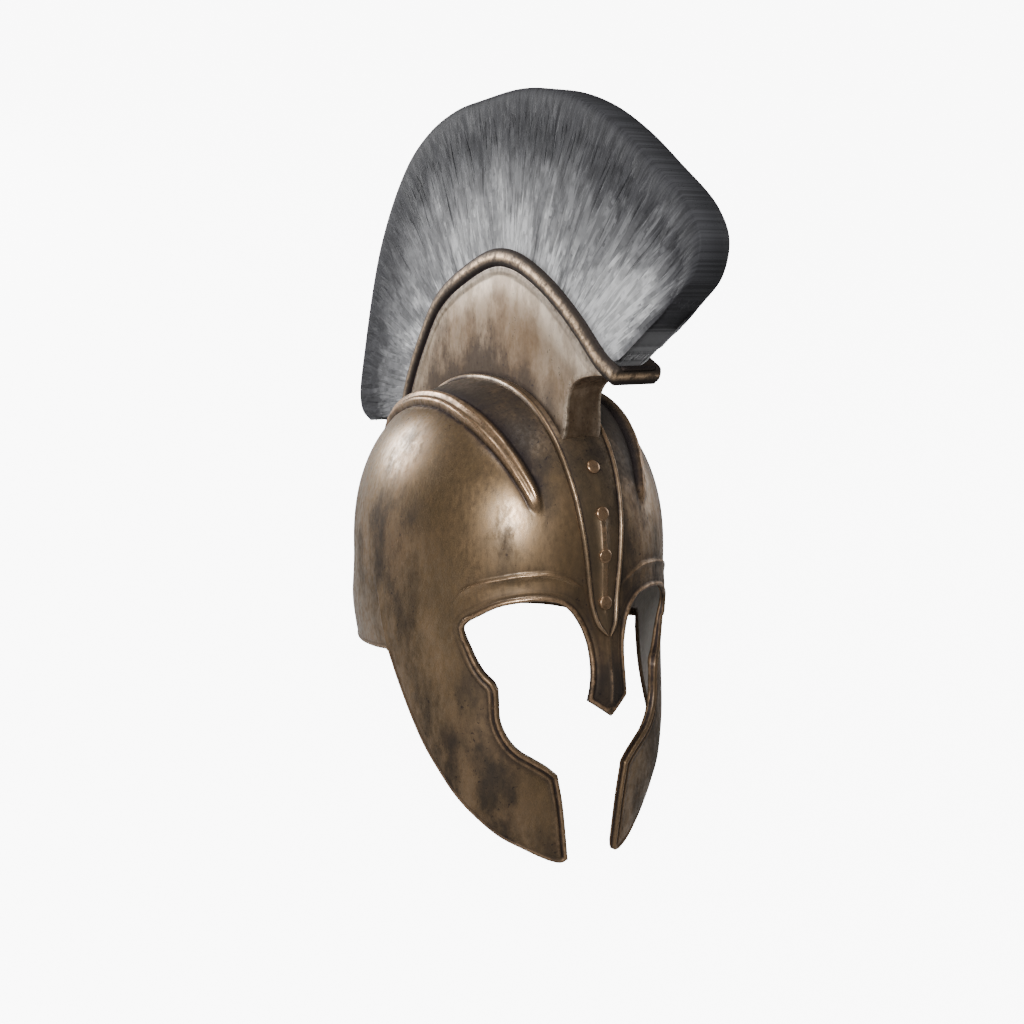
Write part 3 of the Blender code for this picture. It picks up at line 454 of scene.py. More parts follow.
@dataclass(frozen=True)
class ShellForm:
    """The free form of the bronze shell, as sizes in metres and the surface they give."""

    width: float = 0.212
    front_depth: float = 0.122
    back_depth: float = 0.126
    dome_height: float = 0.122
    wall: float = 0.002
    nasal_length: float = 0.0926
    nasal_reach: float = 0.016
    eye_drop: float = 0.0334
    cheek_length: float = 0.197
    cheek_step: float = 0.003
    cheek_bulge: float = 0.006
    cheek_bead: float = 0.00045
    neck_drop: float = 0.0705
    ridge_rise: float = 0.006
    ridge_fade: float = 0.35
    ridge_sink: float = 0.40
    ridge_tip: float = 0.035
    ridge_round: float = 0.022
    brow_rise: float = 0.0013
    dome_power: float = 2.3
    neck_square: float = 0.32
    crease_lean: float = 0.9

    def section(self, height: np.ndarray) -> tuple:
        """Give the shell's half width, middle, front reach and back reach at a height."""
        drop = np.maximum(-np.asarray(height, float), 0.0) / self.cheek_length
        up = np.clip(np.asarray(height, float) / self.dome_height, 0.0, 1.0)
        full = (1.0 - up ** self.dome_power) ** (1.0 / self.dome_power)
        half = through(SKIRT, "half_width", drop) * self.width / 2 * full
        middle = -through(SKIRT, "middle", drop) * self.front_depth
        front = (through(SKIRT, "front", drop) * self.front_depth + middle) * full
        back = (through(SKIRT, "back", drop) * self.back_depth - middle) * full
        return half, middle, front, back

    def plan_power(self, height: np.ndarray) -> np.ndarray:
        """Say how square the back half is at a height, seen from above: 2 is an ellipse."""
        return 2.0 + self.neck_square * smooth_step(-np.asarray(height, float) / self.neck_drop)

    def bare_point(self, angle: np.ndarray, height: np.ndarray) -> np.ndarray:
        """Give a point of the plain shell at an angle from the face and a height."""
        half, middle, front, back = self.section(height)
        along = np.cos(angle)
        across = np.sin(angle)
        power = self.plan_power(height)
        full = (np.abs(along) ** power + np.abs(across) ** power) ** (-1.0 / power)
        full = np.where(along > 0.0, 1.0, full)
        y = middle - np.where(along > 0.0, front, back) * along * full
        return np.stack([half * across * full, y, np.asarray(height, float) + 0.0 * angle], axis=-1)

    def level(self, point: np.ndarray) -> np.ndarray:
        """Say how far outside the plain shell a point is: 0 on it, negative inside."""
        x, y, z = point[..., 0], point[..., 1], point[..., 2]
        half, middle, front, back = self.section(np.minimum(z, 0.0))
        reach = np.where(y < middle, front, back)
        power = np.where(y < middle, 2.0, self.plan_power(z))
        plan = np.abs(x / half) ** power + np.abs((y - middle) / reach) ** power
        up = np.maximum(z, 0.0) / self.dome_height
        return plan ** (self.dome_power / power) + up ** self.dome_power - 1.0

    def outward(self, point: np.ndarray) -> np.ndarray:
        """Give the direction straight out of the plain shell at a point of it."""
        small = 1e-4
        lean = np.zeros(point.shape)
        for axis in range(3):
            side = np.zeros(3)
            side[axis] = small
            lean[..., axis] = self.level(point + side) - self.level(point - side)
        return unit(lean)

    def nasal_lift(self, angle: np.ndarray, height: np.ndarray) -> np.ndarray:
        """Say how far the nose guard stands forward of the plain shell."""
        degrees = np.degrees(np.abs(angle))
        drop = -height / self.nasal_length
        down = smooth_step((drop - 0.12) / 0.72)
        across = 1.0 - 0.30 * np.clip(degrees / 9.5, 0.0, 1.0)
        limit = 26.0 - 12.0 * smooth_step((drop - 0.22) / 0.25)
        return self.nasal_reach * down * across * smooth_step((limit - degrees) / (limit - 10.0))

    def ridge_place(self, point: np.ndarray) -> tuple:
        """Give a point's place across the dome ridge and the ridge's share of full height there."""
        depth = np.where(point[..., 1] < 0.0, self.front_depth, self.back_depth)
        along = np.abs(point[..., 1]) / depth
        outer = through(RIDGE, "outer", along) * self.width / 2
        inner = through(RIDGE, "inner", along) * self.width / 2
        place = (outer - np.abs(point[..., 0])) / np.maximum(outer - inner, 1e-6)
        corner = np.clip(2.0 * place - 1.0, -1.0, 1.0) ** 2
        left = RIDGE[-1].along - self.ridge_round * corner - along
        low = 1.0 - self.ridge_sink * (1.0 - smooth_step(left / self.ridge_fade))
        return place, smooth_step(left / self.ridge_tip) ** 0.5 * low * (point[..., 2] > 0.0)

    def ridge_lift(self, point: np.ndarray) -> np.ndarray:
        """Say how high a dome ridge stands at a point of the plain shell."""
        place, fade = self.ridge_place(point)
        return self.ridge_rise * straight(RIDGE_PROFILE, "rise", place) * fade

    def brow_lift(self, angle: np.ndarray, height: np.ndarray) -> np.ndarray:
        """Say how high the brow band stands: a fine bead along its line and a shallow hollow below."""
        degrees = np.degrees(angle)
        line = -through(BROW_LINE, "drop", degrees) * self.eye_drop
        below = (line - height) / MM
        ends = smooth_step((degrees - 6.0) / 7.0) * smooth_step((56.0 - degrees) / 9.0)
        rise = self.brow_rise * straight(BROW_PROFILE, "rise", below)
        return rise * ends * (height > -1.3 * self.eye_drop)

    def cheek_lift(self, angle: np.ndarray, height: np.ndarray) -> np.ndarray:
        """Say how far the cheek's back edge stands out, and the neck guard behind it stands in."""
        degrees = np.degrees(angle)
        drop = -height / self.neck_drop
        crease = through(CHEEK_CREASE, "angle", drop) + 0.6
        deep = smooth_step((drop - 0.12) / 0.35)
        cheek = smooth_step((degrees - 40.0) / 40.0)
        neck = smooth_step((125.0 - degrees) / 30.0)
        behind = smooth_step((degrees - crease) / self.crease_lean)
        bead = np.exp(-((degrees - crease + 0.8) / 0.75) ** 2) * smooth_step((drop + 0.05) / 0.5)
        step = self.cheek_step / 2 * deep * (cheek * (1.0 - behind) - neck * behind)
        return step + bead * self.cheek_bead * (drop < 0.93)

    def cheek_swell(self, angle: np.ndarray, height: np.ndarray) -> np.ndarray:
        """Say how far the middle of a cheek piece swells out of the plain shell."""
        degrees = np.degrees(angle)
        across = np.sin(np.pi * np.clip((degrees - 22.0) / 64.0, 0.0, 1.0)) ** 2
        drop = -height / self.cheek_length
        down = smooth_step((drop - 0.20) / 0.42) * smooth_step((1.0 - drop) / 0.28)
        return self.cheek_bulge * across * down

    def form_point(self, angle: np.ndarray, height: np.ndarray) -> np.ndarray:
        """Give a point of the shell with its large forms and without rims, beads and creases."""
        bare = self.bare_point(angle, height)
        point = bare + self.outward(bare) * self.cheek_swell(angle, height)[..., None]
        point[..., 1] -= self.nasal_lift(angle, height)
        return point

    def midline(self, start_height: float, back_end: float, step: float) -> tuple:
        """Follow the shell's middle from the brow over the top to the back.

        Returns:
            The points and the directions straight out, both in the middle plane.
        """
        front = np.linspace(start_height, 0.0, 60, endpoint=False)
        slopes = np.linspace(math.pi / 2, -math.pi / 2, 361)
        rise = self.dome_height * np.abs(np.cos(slopes)) ** (2 / self.dome_power)
        low = self.form_point(np.zeros(len(front)), front)
        high = self.form_point(np.where(slopes > 0.0, 0.0, math.pi), rise)
        high[:, 0] = 0.0
        line = np.vstack([low, high])
        keep = (line[:, 1] < 0.0) | (line[:, 2] > back_end)
        line = even(line[keep], step)
        return line, out_of_middle(line)

    def seat(self, base: np.ndarray, normal: np.ndarray, across: np.ndarray,
             rise: np.ndarray) -> np.ndarray:
        """Stand points a given rise above the shell, beside points of its middle line.

        Args:
            base: points of the middle line.
            normal: the directions straight out there.
            across: how far each point stands beside the middle.
            rise: how far each point stands above the shell.

        Returns:
            The points.
        """
        start = base + sideways(across)
        low = np.full(len(base), -0.01)
        high = np.full(len(base), 0.03)
        for _ in range(36):
            drop = (low + high) / 2
            point = start - normal * drop[:, None]
            angle = np.arctan2(point[:, 0], -point[:, 1])
            plain = point.copy()
            plain[:, 1] += np.where(point[:, 1] < 0.0, self.nasal_lift(angle, point[:, 2]), 0.0)
            inside = self.level(plain) < 0.0
            high = np.where(inside, drop, high)
            low = np.where(inside, low, drop)
        return start - normal * ((low + high) / 2 - rise)[:, None]


FORM = ShellForm()


@dataclass
class HelmetShell:
    """The shell in one sheet of bronze: dome, brow, nose guard, cheek pieces and neck guard."""

    fill_step: float = 0.0034
    edge_step: float = 0.0017
    seam_height: float = 0.0122
    rows_in: tuple = (0.35, 0.8, 1.3, 1.9, 2.5, 3.0, 3.5, 4.1, 4.8, 5.6, 6.4, 7.2, 8.2)
    brow_rows: tuple = (-2.6, -1.7, -0.9, -0.1, 0.6, 1.4, 2.5)
    crease_rows: tuple = (-1.6, -0.9, -0.2, 0.4, 1.0, 1.6, 2.3, 3.2)
    nasal_rows: tuple = (0.5, 1.0, 1.6, 2.4)
    form: ShellForm = field(default_factory=ShellForm)

    def flat(self, rows: list, size: float, start: float = 0.0) -> list:
        """Turn rows of angle and drop into flat pattern points: arc length across and height."""
        arc = self.form.width / 2
        return [(math.radians(row.angle) * arc, -(start + row.drop * size)) for row in rows]

    @staticmethod
    def inside(points: np.ndarray, outline: np.ndarray) -> np.ndarray:
        """Say which flat points lie inside a closed outline."""
        x, y = points[:, :1], points[:, 1:2]
        a = outline
        b = np.roll(outline, -1, axis=0)
        spans = (a[:, 1] > y) != (b[:, 1] > y)
        rise = np.where(np.abs(b[:, 1] - a[:, 1]) < 1e-12, 1e-12, b[:, 1] - a[:, 1])
        crossing = a[:, 0] + (y - a[:, 1]) / rise * (b[:, 0] - a[:, 0])
        return (spans & (x < crossing)).sum(axis=1) % 2 == 1

    @staticmethod
    def beside(line: np.ndarray, offset: float) -> np.ndarray:
        """Give the points beside a flat line at an offset to its left."""
        along = unit(np.gradient(line, axis=0))
        return line + np.stack([-along[:, 1], along[:, 0]], axis=1) * offset

    def fill(self, outline: np.ndarray, rows: list) -> tuple:
        """Fill a flat outline with triangles that use the given rows of points.

        Args:
            outline: the closed flat outline.
            rows: rows of points with the least distance each keeps from the outline.

        Returns:
            The flat points and the triangles.
        """
        tree = tree_of(outline)
        chosen = [outline]
        for row, keep_off in rows:
            row = row[self.inside(row, outline)]
            far = np.array([tree.find((*p, 0.0))[2] for p in row]) > keep_off
            chosen.append(row[far] if len(row) else row)
        placed = np.vstack(chosen)
        near = tree_of(placed)
        low, high = outline.min(axis=0), outline.max(axis=0)
        across = np.arange(low[0], high[0], self.fill_step)
        down = np.arange(low[1], high[1], self.fill_step * 0.866)
        half_step = 0.5 * self.fill_step
        grid = np.array([(x + (j % 2) * half_step, y) for j, y in enumerate(down) for x in across])
        grid = grid[self.inside(grid, outline)]
        gap = np.array([near.find((*p, 0.0))[2] for p in grid])
        points = np.vstack([placed, grid[gap > 0.62 * self.fill_step]])
        border = [list(range(len(outline)))]
        result = delaunay_2d_cdt([tuple(p) for p in points], [], border, 1, 1e-7)
        return np.array([tuple(p) for p in result[0]]), [tuple(face) for face in result[2]]

    def skirt(self, seam_angles: np.ndarray) -> tuple:
        """Lay out the half below the seam, with its rims.

        Returns:
            Angles, heights, triangles, the open edge's points, their kinds and their hems.
        """
        form = self.form
        arc = form.width / 2
        cheek = form.cheek_length - form.eye_drop
        tip = [(0.0, -form.nasal_length)]
        nasal = self.flat(NASAL_SIDE, form.nasal_length)
        brow = self.flat(BROW_EDGE, form.eye_drop)
        beside_eye = self.flat(CHEEK_BESIDE_EYE, cheek, form.eye_drop)
        beside_mouth = self.flat(CHEEK_BESIDE_MOUTH, cheek, form.eye_drop)
        front = self.flat(CHEEK_FRONT, cheek, form.eye_drop)
        back = self.flat(CHEEK_BACK, cheek, form.eye_drop)
        neck = self.flat(NECK_EDGE, form.neck_drop)
        # Each run of the open edge with its kind (0 eye, 1 cheek, 2 back) and its inward hem in
        # millimetres; the run round the eye turns from kind 0 to 1 behind its rear corner
        runs = (
            (tip + nasal[:1], 0.0, 0.0),
            (nasal + brow + beside_eye, 0.0, 4.6),
            (beside_eye[-1:] + beside_mouth, 1.0, 3.4),
            (beside_mouth[-1:] + front, 1.0, 3.0),
            (front[-1:] + back, 2.0, 0.3),
            (back[-1:] + neck[:1], 2.0, 0.0),
            (neck, 2.0, 0.0),
        )
        lines = [curve(run[0], self.edge_step) for run in runs]
        kinds = [np.full(len(line), run[1]) for line, run in zip(lines, runs)]
        hems = [np.full(len(line), run[2]) for line, run in zip(lines, runs)]
        behind = np.arange(len(lines[1])) - np.argmax(lines[1][:, 0])
        kinds[1] = np.clip(behind / behind[-1], 0.0, 1.0)
        hems[1] = hems[1] * kinds[1] ** 0.6
        kinds = np.concatenate(kinds)
        hems = np.concatenate(hems)
        hems = np.convolve(np.pad(hems, 3, "edge"), np.full(7, 1.0 / 7.0), "valid")
        open_edge = np.vstack(lines)
        side = curve([neck[-1], (math.pi * arc, self.seam_height)], self.edge_step)[1:-1]
        seam = np.array([(angle * arc, self.seam_height) for angle in seam_angles[::-1]])
        centre = even(np.array([(0.0, self.seam_height), tip[0]]), self.edge_step)[1:-1]
        outline = np.vstack([line[:-1] for line in lines] + [neck[-1:], side, seam, centre])
        rows = []
        for offset in self.rows_in:
            for line in lines:
                rows.append((self.beside(line, offset * MM), 0.93 * offset * MM))
        brow_line = curve(self.flat(BROW_LINE, form.eye_drop), 1.6 * MM)
        for offset in self.brow_rows:
            rows.append((self.beside(brow_line, offset * MM), 2.0 * MM))
        crease = curve(self.flat(CHEEK_CREASE, form.neck_drop) + back[-1:], 1.6 * MM)
        for offset in self.crease_rows:
            rows.append((crease + np.array([offset * MM, 0.0]), 1.0 * MM))
        down = np.linspace(-0.030, -0.084, 34)
        for offset in self.nasal_rows:
            rows.append((np.stack([0 * down + offset * MM, down], axis=1), 1.5 * MM))
        flat, faces = self.fill(outline, rows)
        edge = (open_edge[:, 0] / arc, open_edge[:, 1])
        return flat[:, 0] / arc, flat[:, 1], faces, edge, kinds, hems

    def dome(self, seam_angles: np.ndarray) -> tuple:
        """Lay out the half above the seam, with rows of points along the ridge.

        Returns:
            Angles, heights and triangles.
        """
        form = self.form
        scale = form.width / 2
        slope = math.acos((self.seam_height / form.dome_height) ** (form.dome_power / 2))
        rim = np.array([(math.sin(a) * slope, math.cos(a) * slope) for a in seam_angles]) * scale
        rim[0, 0] = 0.0
        rim[-1, 0] = 0.0
        middle = even(np.array([rim[-1], rim[0]]), self.edge_step)[1:-1]
        outline = np.vstack([rim, middle])[::-1]
        last = RIDGE[-1].along
        body = np.linspace(-last + 0.05, last - 0.05, 241)
        rows = []
        for row in RIDGE_PROFILE[1:-1]:
            rows.append((even(self.on_dome(body, row.place), 1.9 * MM), 1.2 * MM))
        for share in np.linspace(last - 0.044, last + 0.020, 9):
            for sign in (1.0, -1.0):
                places = np.linspace(-0.2, 1.2, 16)
                rows.append((self.on_dome(sign * share + 0.0 * places, places), 0.5 * MM))
        flat, faces = self.fill(outline, rows)
        steep = np.hypot(flat[:, 0], flat[:, 1]) / scale
        height = form.dome_height * np.cos(np.minimum(steep, math.pi / 2)) ** (2 / form.dome_power)
        return np.arctan2(flat[:, 0], flat[:, 1]), height, faces

    def on_dome(self, along: np.ndarray, place: np.ndarray) -> np.ndarray:
        """Give flat points of the dome at shares of its depth and places across the ridge."""
        outer = through(RIDGE, "outer", np.abs(along))
        across = outer + (through(RIDGE, "inner", np.abs(along)) - outer) * place
        radius = np.hypot(across, along)
        tilt = np.arcsin(np.clip(radius, 0.0, 1.0) ** (self.form.dome_power / 2)) / radius
        return np.stack([across * tilt, -along * tilt], axis=1) * self.form.width / 2

    def rim(self, point: np.ndarray, edge: tuple, kinds: np.ndarray, hems: np.ndarray) -> tuple:
        """Measure from the open edge.

        Args:
            point: points of the shell.
            edge: angles and heights of the open edge.
            kinds: the kind of edge at each of its points.
            hems: the hem in millimetres there.

        Returns:
            Each point's distance from the edge in millimetres, and the edge's kind and hem there.
        """
        line = self.form.form_point(*edge)
        run = run_along(line)
        at = np.arange(0.0, run[-1], 0.25 * MM)
        fine = np.stack([np.interp(at, run, line[:, i]) for i in range(3)], axis=1)
        kind = np.interp(at, run, kinds)
        tree = tree_of(fine)
        found = [tree.find(p) for p in point]
        away = np.array([hit[2] for hit in found]) / MM
        near = [hit[1] for hit in found]
        return np.maximum(away - 0.06, 0.0), kind[near], np.interp(at, run, hems)[near]

    def half(self) -> tuple:
        """Give the outer points, inner points, triangles and masks of the half at +X."""
        form = self.form
        count = round(math.pi * form.width / 2 / self.edge_step)
        seam_angles = np.linspace(0.0, math.pi, count + 1)
        skirt = self.skirt(seam_angles)
        dome = self.dome(seam_angles)
        angle = np.concatenate([skirt[0], dome[0]])
        height = np.concatenate([skirt[1], dome[1]])
        faces = skirt[2] + [tuple(i + len(skirt[0]) for i in face) for face in dome[2]]
        bare = form.bare_point(angle, height)
        normal = form.outward(bare)
        plain = form.form_point(angle, height)
        away, kind, hem = self.rim(plain, skirt[3], skirt[4], skirt[5])
        eye, cheek, back = (straight(RIM_PROFILE, name, away) for name in ("eye", "cheek", "back"))
        edge = mixed(mixed(eye, cheek, np.clip(kind, 0, 1)), back, np.clip(kind - 1, 0, 1)) * MM
        nasal = straight(NASAL_CREASE, "rise", np.abs(plain[:, 0]) / MM) * (angle < 0.4) * MM
        nasal = nasal * smooth_step((-height - 0.036) / 0.006) * smooth_step((height + 0.0855) / 0.004)
        cheek_lift = form.cheek_lift(angle, height)
        rise = form.ridge_lift(bare) + form.brow_lift(angle, height) + cheek_lift + edge + nasal
        outer = plain + normal * rise[:, None]
        fold = hem * straight(RIM_PROFILE, "hem", away) - straight(RIM_PROFILE, "inner", away)
        inner = plain + normal * (cheek_lift - form.wall - fold * MM)[:, None]
        masks = self.masks(angle, height, away, kind, form.ridge_place(bare), edge / MM, nasal / MM)
        return outer, inner, faces, masks

    def masks(self, angle: np.ndarray, height: np.ndarray, away: np.ndarray, kind: np.ndarray,
              ridge: tuple, edge: np.ndarray, nasal: np.ndarray) -> np.ndarray:
        """Say how worn each point is, how dark with dirt and painted shade, how much it is darkened or
        lightened by painted shade and light, and how far it is from the open edge.

        Args:
            angle: angles round the head.
            height: heights over the brow.
            away: distances in millimetres from the open edge.
            kind: the kinds of edge there.
            ridge: places across the dome ridge and its shares of full height.
            edge: the rim's rise in millimetres.
            nasal: the rise of the nose guard's crease in millimetres.

        Returns:
            A row of four numbers for each point.
        """
        form = self.form
        degrees = np.degrees(angle)
        place, fade = ridge
        strong = smooth_step(fade / 0.3)
        worn = straight(RIDGE_PROFILE, "worn", place) * strong
        grimy = straight(RIDGE_PROFILE, "grimy", place) * strong
        line = (-through(BROW_LINE, "drop", degrees) * form.eye_drop - height) / MM
        band = smooth_step((degrees - 8.0) / 4.0) * smooth_step((56.0 - degrees) / 10.0)
        band = band * (np.abs(height) < 0.045)
        worn = worn + np.clip(edge * 0.9, 0, 1) * (away < 6.5) + nasal * 0.7
        worn = worn + np.interp(line, [-0.8, 0.3, 1.6], [0, 0.55, 0]) * band
        # Dirt and painted shade in the grooves beside the rims and beside the brow line's bead
        thick = straight(THICK_RIM_GRIME_AND_SHADE, "grimy", away) * mixed(0.6, 1.0, np.clip(kind, 0, 1))
        grimy = grimy + np.where(kind < 1.5, thick, straight(THIN_RIM_GRIME_AND_SHADE, "grimy", away))
        grimy = grimy + np.interp(line, [-4.0, -1.6, -0.6, 4.0], [0, 0.45, 0, 0]) * band
        # Painted shade in the channel between each ridge and the plate; the nose guard is darkened as well
        channel = np.interp(place, [0.6, 1.0, 3.0, 3.8], [0, 1, 0.75, 0.6]) * (height > 0)
        along = np.abs(np.cos(angle)) * (1.0 - np.clip(height / form.dome_height, 0, 1) ** 2) ** 0.5
        shade = channel * smooth_step((0.98 - along) / 0.25)
        guard = smooth_step((12.0 - degrees) / 3.0) * smooth_step((-height - 0.042) / 0.02)
        shade = np.maximum(0.9 * shade, 0.5 * guard)
        # The dome beside the ridges is painted lighter than the rest: cleaner metal, and painted light that
        # brightens its highlight
        shade = shade - 0.35 * smooth_step((height - 0.022) / 0.03) * smooth_step((-0.1 - place) / 0.4)
        return np.stack([np.clip(worn, 0, 1), np.clip(grimy, 0, 1), shade, away], axis=1)

    def build(self, material: bpy.types.Material) -> bpy.types.Object:
        """Make both halves, weld them, close the rims and dress the sheet."""
        outer, inner, faces, masks_of = self.half()
        for side in (outer, inner):
            side[np.abs(side[:, 0]) < 2e-6, 0] = 0.0
        sheet = bmesh.new()
        keep = sheet.verts.layers.float_vector.new("inner")
        places = sheet.verts.layers.int.new("place")
        for sign in (1.0, -1.0):
            made = []
            for i, (p, q) in enumerate(zip(outer, inner)):
                vertex = sheet.verts.new((sign * p[0], p[1], p[2]))
                vertex[keep] = (sign * q[0], q[1], q[2])
                vertex[places] = i
                made.append(vertex)
            for face in faces:
                ring = [made[i] for i in face]
                a, b, c = (outer[i] for i in face)
                facing = np.cross(b - a, c - a) @ ((a + b + c) * (1, 1, 0.5))
                sheet.faces.new(ring if facing * sign > 0.0 else ring[::-1])
        bmesh.ops.remove_doubles(sheet, verts=sheet.verts, dist=2e-5)
        bmesh.ops.recalc_face_normals(sheet, faces=sheet.faces)
        sheet.verts.ensure_lookup_table()
        sheet.verts.index_update()
        top = max(sheet.faces, key=lambda face: face.calc_center_median().z)
        turn = top.normal.z < 0.0
        count = len(sheet.verts)
        points = [tuple(v.co) for v in sheet.verts] + [tuple(v[keep]) for v in sheet.verts]
        mask = masks_of[[v[places] for v in sheet.verts]]
        rings = [[v.index for v in face.verts] for face in sheet.faces]
        sheet.free()
        if turn:
            rings = [ring[::-1] for ring in rings]
        used = {(a, b) for ring in rings for a, b in zip(ring, ring[1:] + ring[:1])}
        border = [(a, b) for a, b in sorted(used) if (b, a) not in used]
        backs = [[i + count for i in ring[::-1]] for ring in rings]
        # The open edge gets rows of points through its thickness, for its worn corners and the dirt and
        # painted shade on its wall
        rim = sorted({i for pair in border for i in pair})
        order = {i: k for k, i in enumerate(rim)}
        solid = np.array(points)
        rows = [mixed(solid[rim], solid[np.array(rim) + count], row.place) for row in EDGE_FACE]
        starts = [2 * count + k * len(rim) for k in range(len(rows))]
        column = {i: [i] + [start + order[i] for start in starts] + [i + count] for i in rim}
        walls = []
        for a, b in border:
            for k in range(len(rows) + 1):
                walls.append((column[b][k], column[a][k], column[a][k + 1], column[b][k + 1]))
        item = Bench.sheet("bronze_shell", np.vstack([solid] + rows), rings + backs + walls)
        none = np.zeros(count)
        inner_lining = smooth_step((mask[:, 3] - 5.0) / 1.5)
        inner_worn = np.interp(mask[:, 3], [0.0, 0.8, 2.0], [0.6, 0.3, 0.0])
        worn_edge = [np.full(len(rim), row.worn) for row in EDGE_FACE]
        edge_grime_and_shade = [np.full(len(rim), row.grimy) for row in EDGE_FACE]
        empty_edge = [np.zeros(len(rim))] * len(EDGE_FACE)
        Bench.mask(item, "raised", np.concatenate([mask[:, 0], inner_worn] + worn_edge))
        Bench.mask(item, "sunk", np.concatenate([mask[:, 1], 0.3 + none] + edge_grime_and_shade))
        Bench.mask(item, "shade", np.concatenate([mask[:, 2], none] + empty_edge))
        Bench.mask(item, "lining", np.concatenate([none, inner_lining] + empty_edge))
        Bench.finish(item, material, "bronze_shell", ("shell",), 60.0)
        return item


@dataclass
class CentrePlate:
    """The beaded plate from between the eyes over the dome, with a rib down to the lowest rivet."""

    width: float = 0.046
    drop: float = 0.040
    tail: float = 0.050
    step: float = 0.0022
    rib_half: float = 0.0019
    rib_rise: float = 0.0008
    rib_top: float = 0.0393
    rib_foot: float = 0.014
    lift: float = 0.0001

    def frame(self, step: float) -> tuple:
        """Give the plate's middle line, its outward directions and its half widths."""
        line, normal = FORM.midline(-self.drop, self.tail, step)
        run = run_along(line)
        share = np.minimum(run / run[np.argmax(line[:, 2])], 1.0)
        return line, normal, through(PLATE_FRONT, "half_width", share) * self.width / 2

    def rib(self, line: np.ndarray) -> np.ndarray:
        """Say where along the plate the narrow rib stands."""
        up = (self.rib_top - line[:, 2]) / 0.004
        foot = (line[:, 2] + self.drop - self.rib_foot) / 0.004
        return smooth_step(up) * smooth_step(foot) * (line[:, 1] < 0.0)

    def build(self, material: bpy.types.Material) -> bpy.types.Object:
        """Loft the plate over the dome and dress it."""
        line, normal, half = self.frame(self.step)
        bead = np.minimum(1.0, half / (5.4 * MM))
        rib = np.minimum(self.rib_half, 0.30 * half)
        tall = self.rib_rise * self.rib(line)
        thin = mixed(0.75, 1.0, bead)
        columns = [(half - row.out * MM * bead, row.up * MM * thin) for row in PLATE_PROFILE]
        flat = columns[-1][1]
        # Taper the rib to a point below the lowest rivet
        point = smooth_step((line[:, 2] + self.drop - self.rib_foot) / 0.012)
        rib = rib * mixed(0.25, 1.0, point)
        columns += [(mixed(half - 4.8 * MM * bead, rib * 1.3, 0.5), flat), (rib * 1.25, flat)]
        columns += [(rib, flat + 0.7 * tall), (rib * 0.7, flat + tall), (0.0 * rib, flat + tall)]
        top = [FORM.seat(line, normal, across, self.lift + rise) for across, rise in columns]
        other = [p * (-1, 1, 1) for p in reversed(top[:-1])]
        low = self.lift + 0.0 * half
        under = [FORM.seat(line, normal, half * share, low) for share in (-1, -0.5, 0, 0.5, 1)]
        rings = np.stack(top + other + under, axis=1)
        item = Bench.sheet("centre_plate_sheet", *loft(rings))
        high = [0.45 * np.interp(row.up, [1.4, 2.3, 2.9], [0.0, 0.5, 1.0]) for row in PLATE_PROFILE]
        raised = high + [0.0] * 5
        # Dirt and painted shade at the plate's edge against the shell and inside its beads
        sunk = [0.8, 0.5, 0.1, 0.0, 0.0, 0.0, 0.0, 0.55, 1.0, 0.75, 0.3, 0.15, 0.2, 0.1, 0.0, 0.0]
        on_rib = np.array([0.0] * 11 + [0.0, 0.2, 1.0, 1.0, 1.0])
        none = np.zeros((len(line), len(under)))
        for name, row, ribbed in (("raised", raised, 0.7), ("sunk", sunk, 0.0)):
            rows = np.array(row) + (ribbed - np.array(row)) * on_rib * self.rib(line)[:, None]
            back = rows[:, :-1][:, ::-1]
            Bench.mask(item, name, np.concatenate([rows, back, none], axis=1).ravel())
        Bench.turn_out(item)
        Bench.finish(item, material, "bronze_plate", ("centre_plate",), 50.0)
        return item


@dataclass
class Rivets:
    """The round rivet heads down the front of the plate."""

    diameter: float = 0.0094
    height: float = 0.0022
    seat_rise: float = 0.0014
    heights: tuple = (-0.0183, 0.0118, 0.0393, 0.0680)
    corners: int = 40

    def head(self, name: str) -> bpy.types.Object:
        """Model one head at the origin: a disc whose top is inset, raised and rounded."""
        Bench.deselect()
        bpy.ops.mesh.primitive_cylinder_add(
            vertices=self.corners, radius=self.diameter / 2, depth=self.height * 0.62,
            location=(0.0, 0.0, self.height * 0.31))
        item = bpy.context.object
        item.name = name
        bpy.ops.object.transform_apply(location=True)
        bpy.ops.object.mode_set(mode="EDIT")
        for inset, lift in ((0.0007, 0.24), (0.0011, 0.12), (0.0015, 0.02)):
            self.select_top(item)
            bpy.ops.mesh.inset(thickness=inset)
            bpy.ops.transform.translate(value=(0.0, 0.0, self.height * lift))
        bpy.ops.object.mode_set(mode="OBJECT")
        Bench.round_edges(item, 0.0004, 2, 40.0)
        return item

    @staticmethod
    def select_top(item: bpy.types.Object) -> None:
        """Select only the highest face, in edit mode."""
        mesh = bmesh.from_edit_mesh(item.data)
        for face in mesh.faces:
            face.select_set(False)
        max(mesh.faces, key=lambda face: face.calc_center_median().z).select_set(True)
        bmesh.update_edit_mesh(item.data)

    def build(self, material: bpy.types.Material, plate: CentrePlate) -> None:
        """Seat a head at each place on the plate."""
        line, normal = FORM.midline(-plate.drop, plate.tail, MM)
        for number, height in enumerate(self.heights, start=1):
            i = int(np.argmin(np.abs(line[:, 2] - height) + (line[:, 1] > 0.0)))
            item = self.head("rivet_head_" + str(number))
            z = np.array([v.co.z for v in item.data.vertices])
            Bench.mask(item, "raised", smooth_step((z / self.height - 0.3) / 0.5) * 0.75)
            # Dirt and painted shade round the foot of each head, where it meets the plate
            Bench.mask(item, "sunk", smooth_step((0.35 - z / self.height) / 0.35))
            lean = math.atan2(-normal[i][1], normal[i][2])
            place = line[i] + normal[i] * self.seat_rise
            item.matrix_world = Matrix.Translation(place) @ Matrix.Rotation(lean, 4, "X")
            bpy.context.view_layer.update()
            Bench.finish(item, material, "rivets", ("rivet_" + str(number),), 35.0)


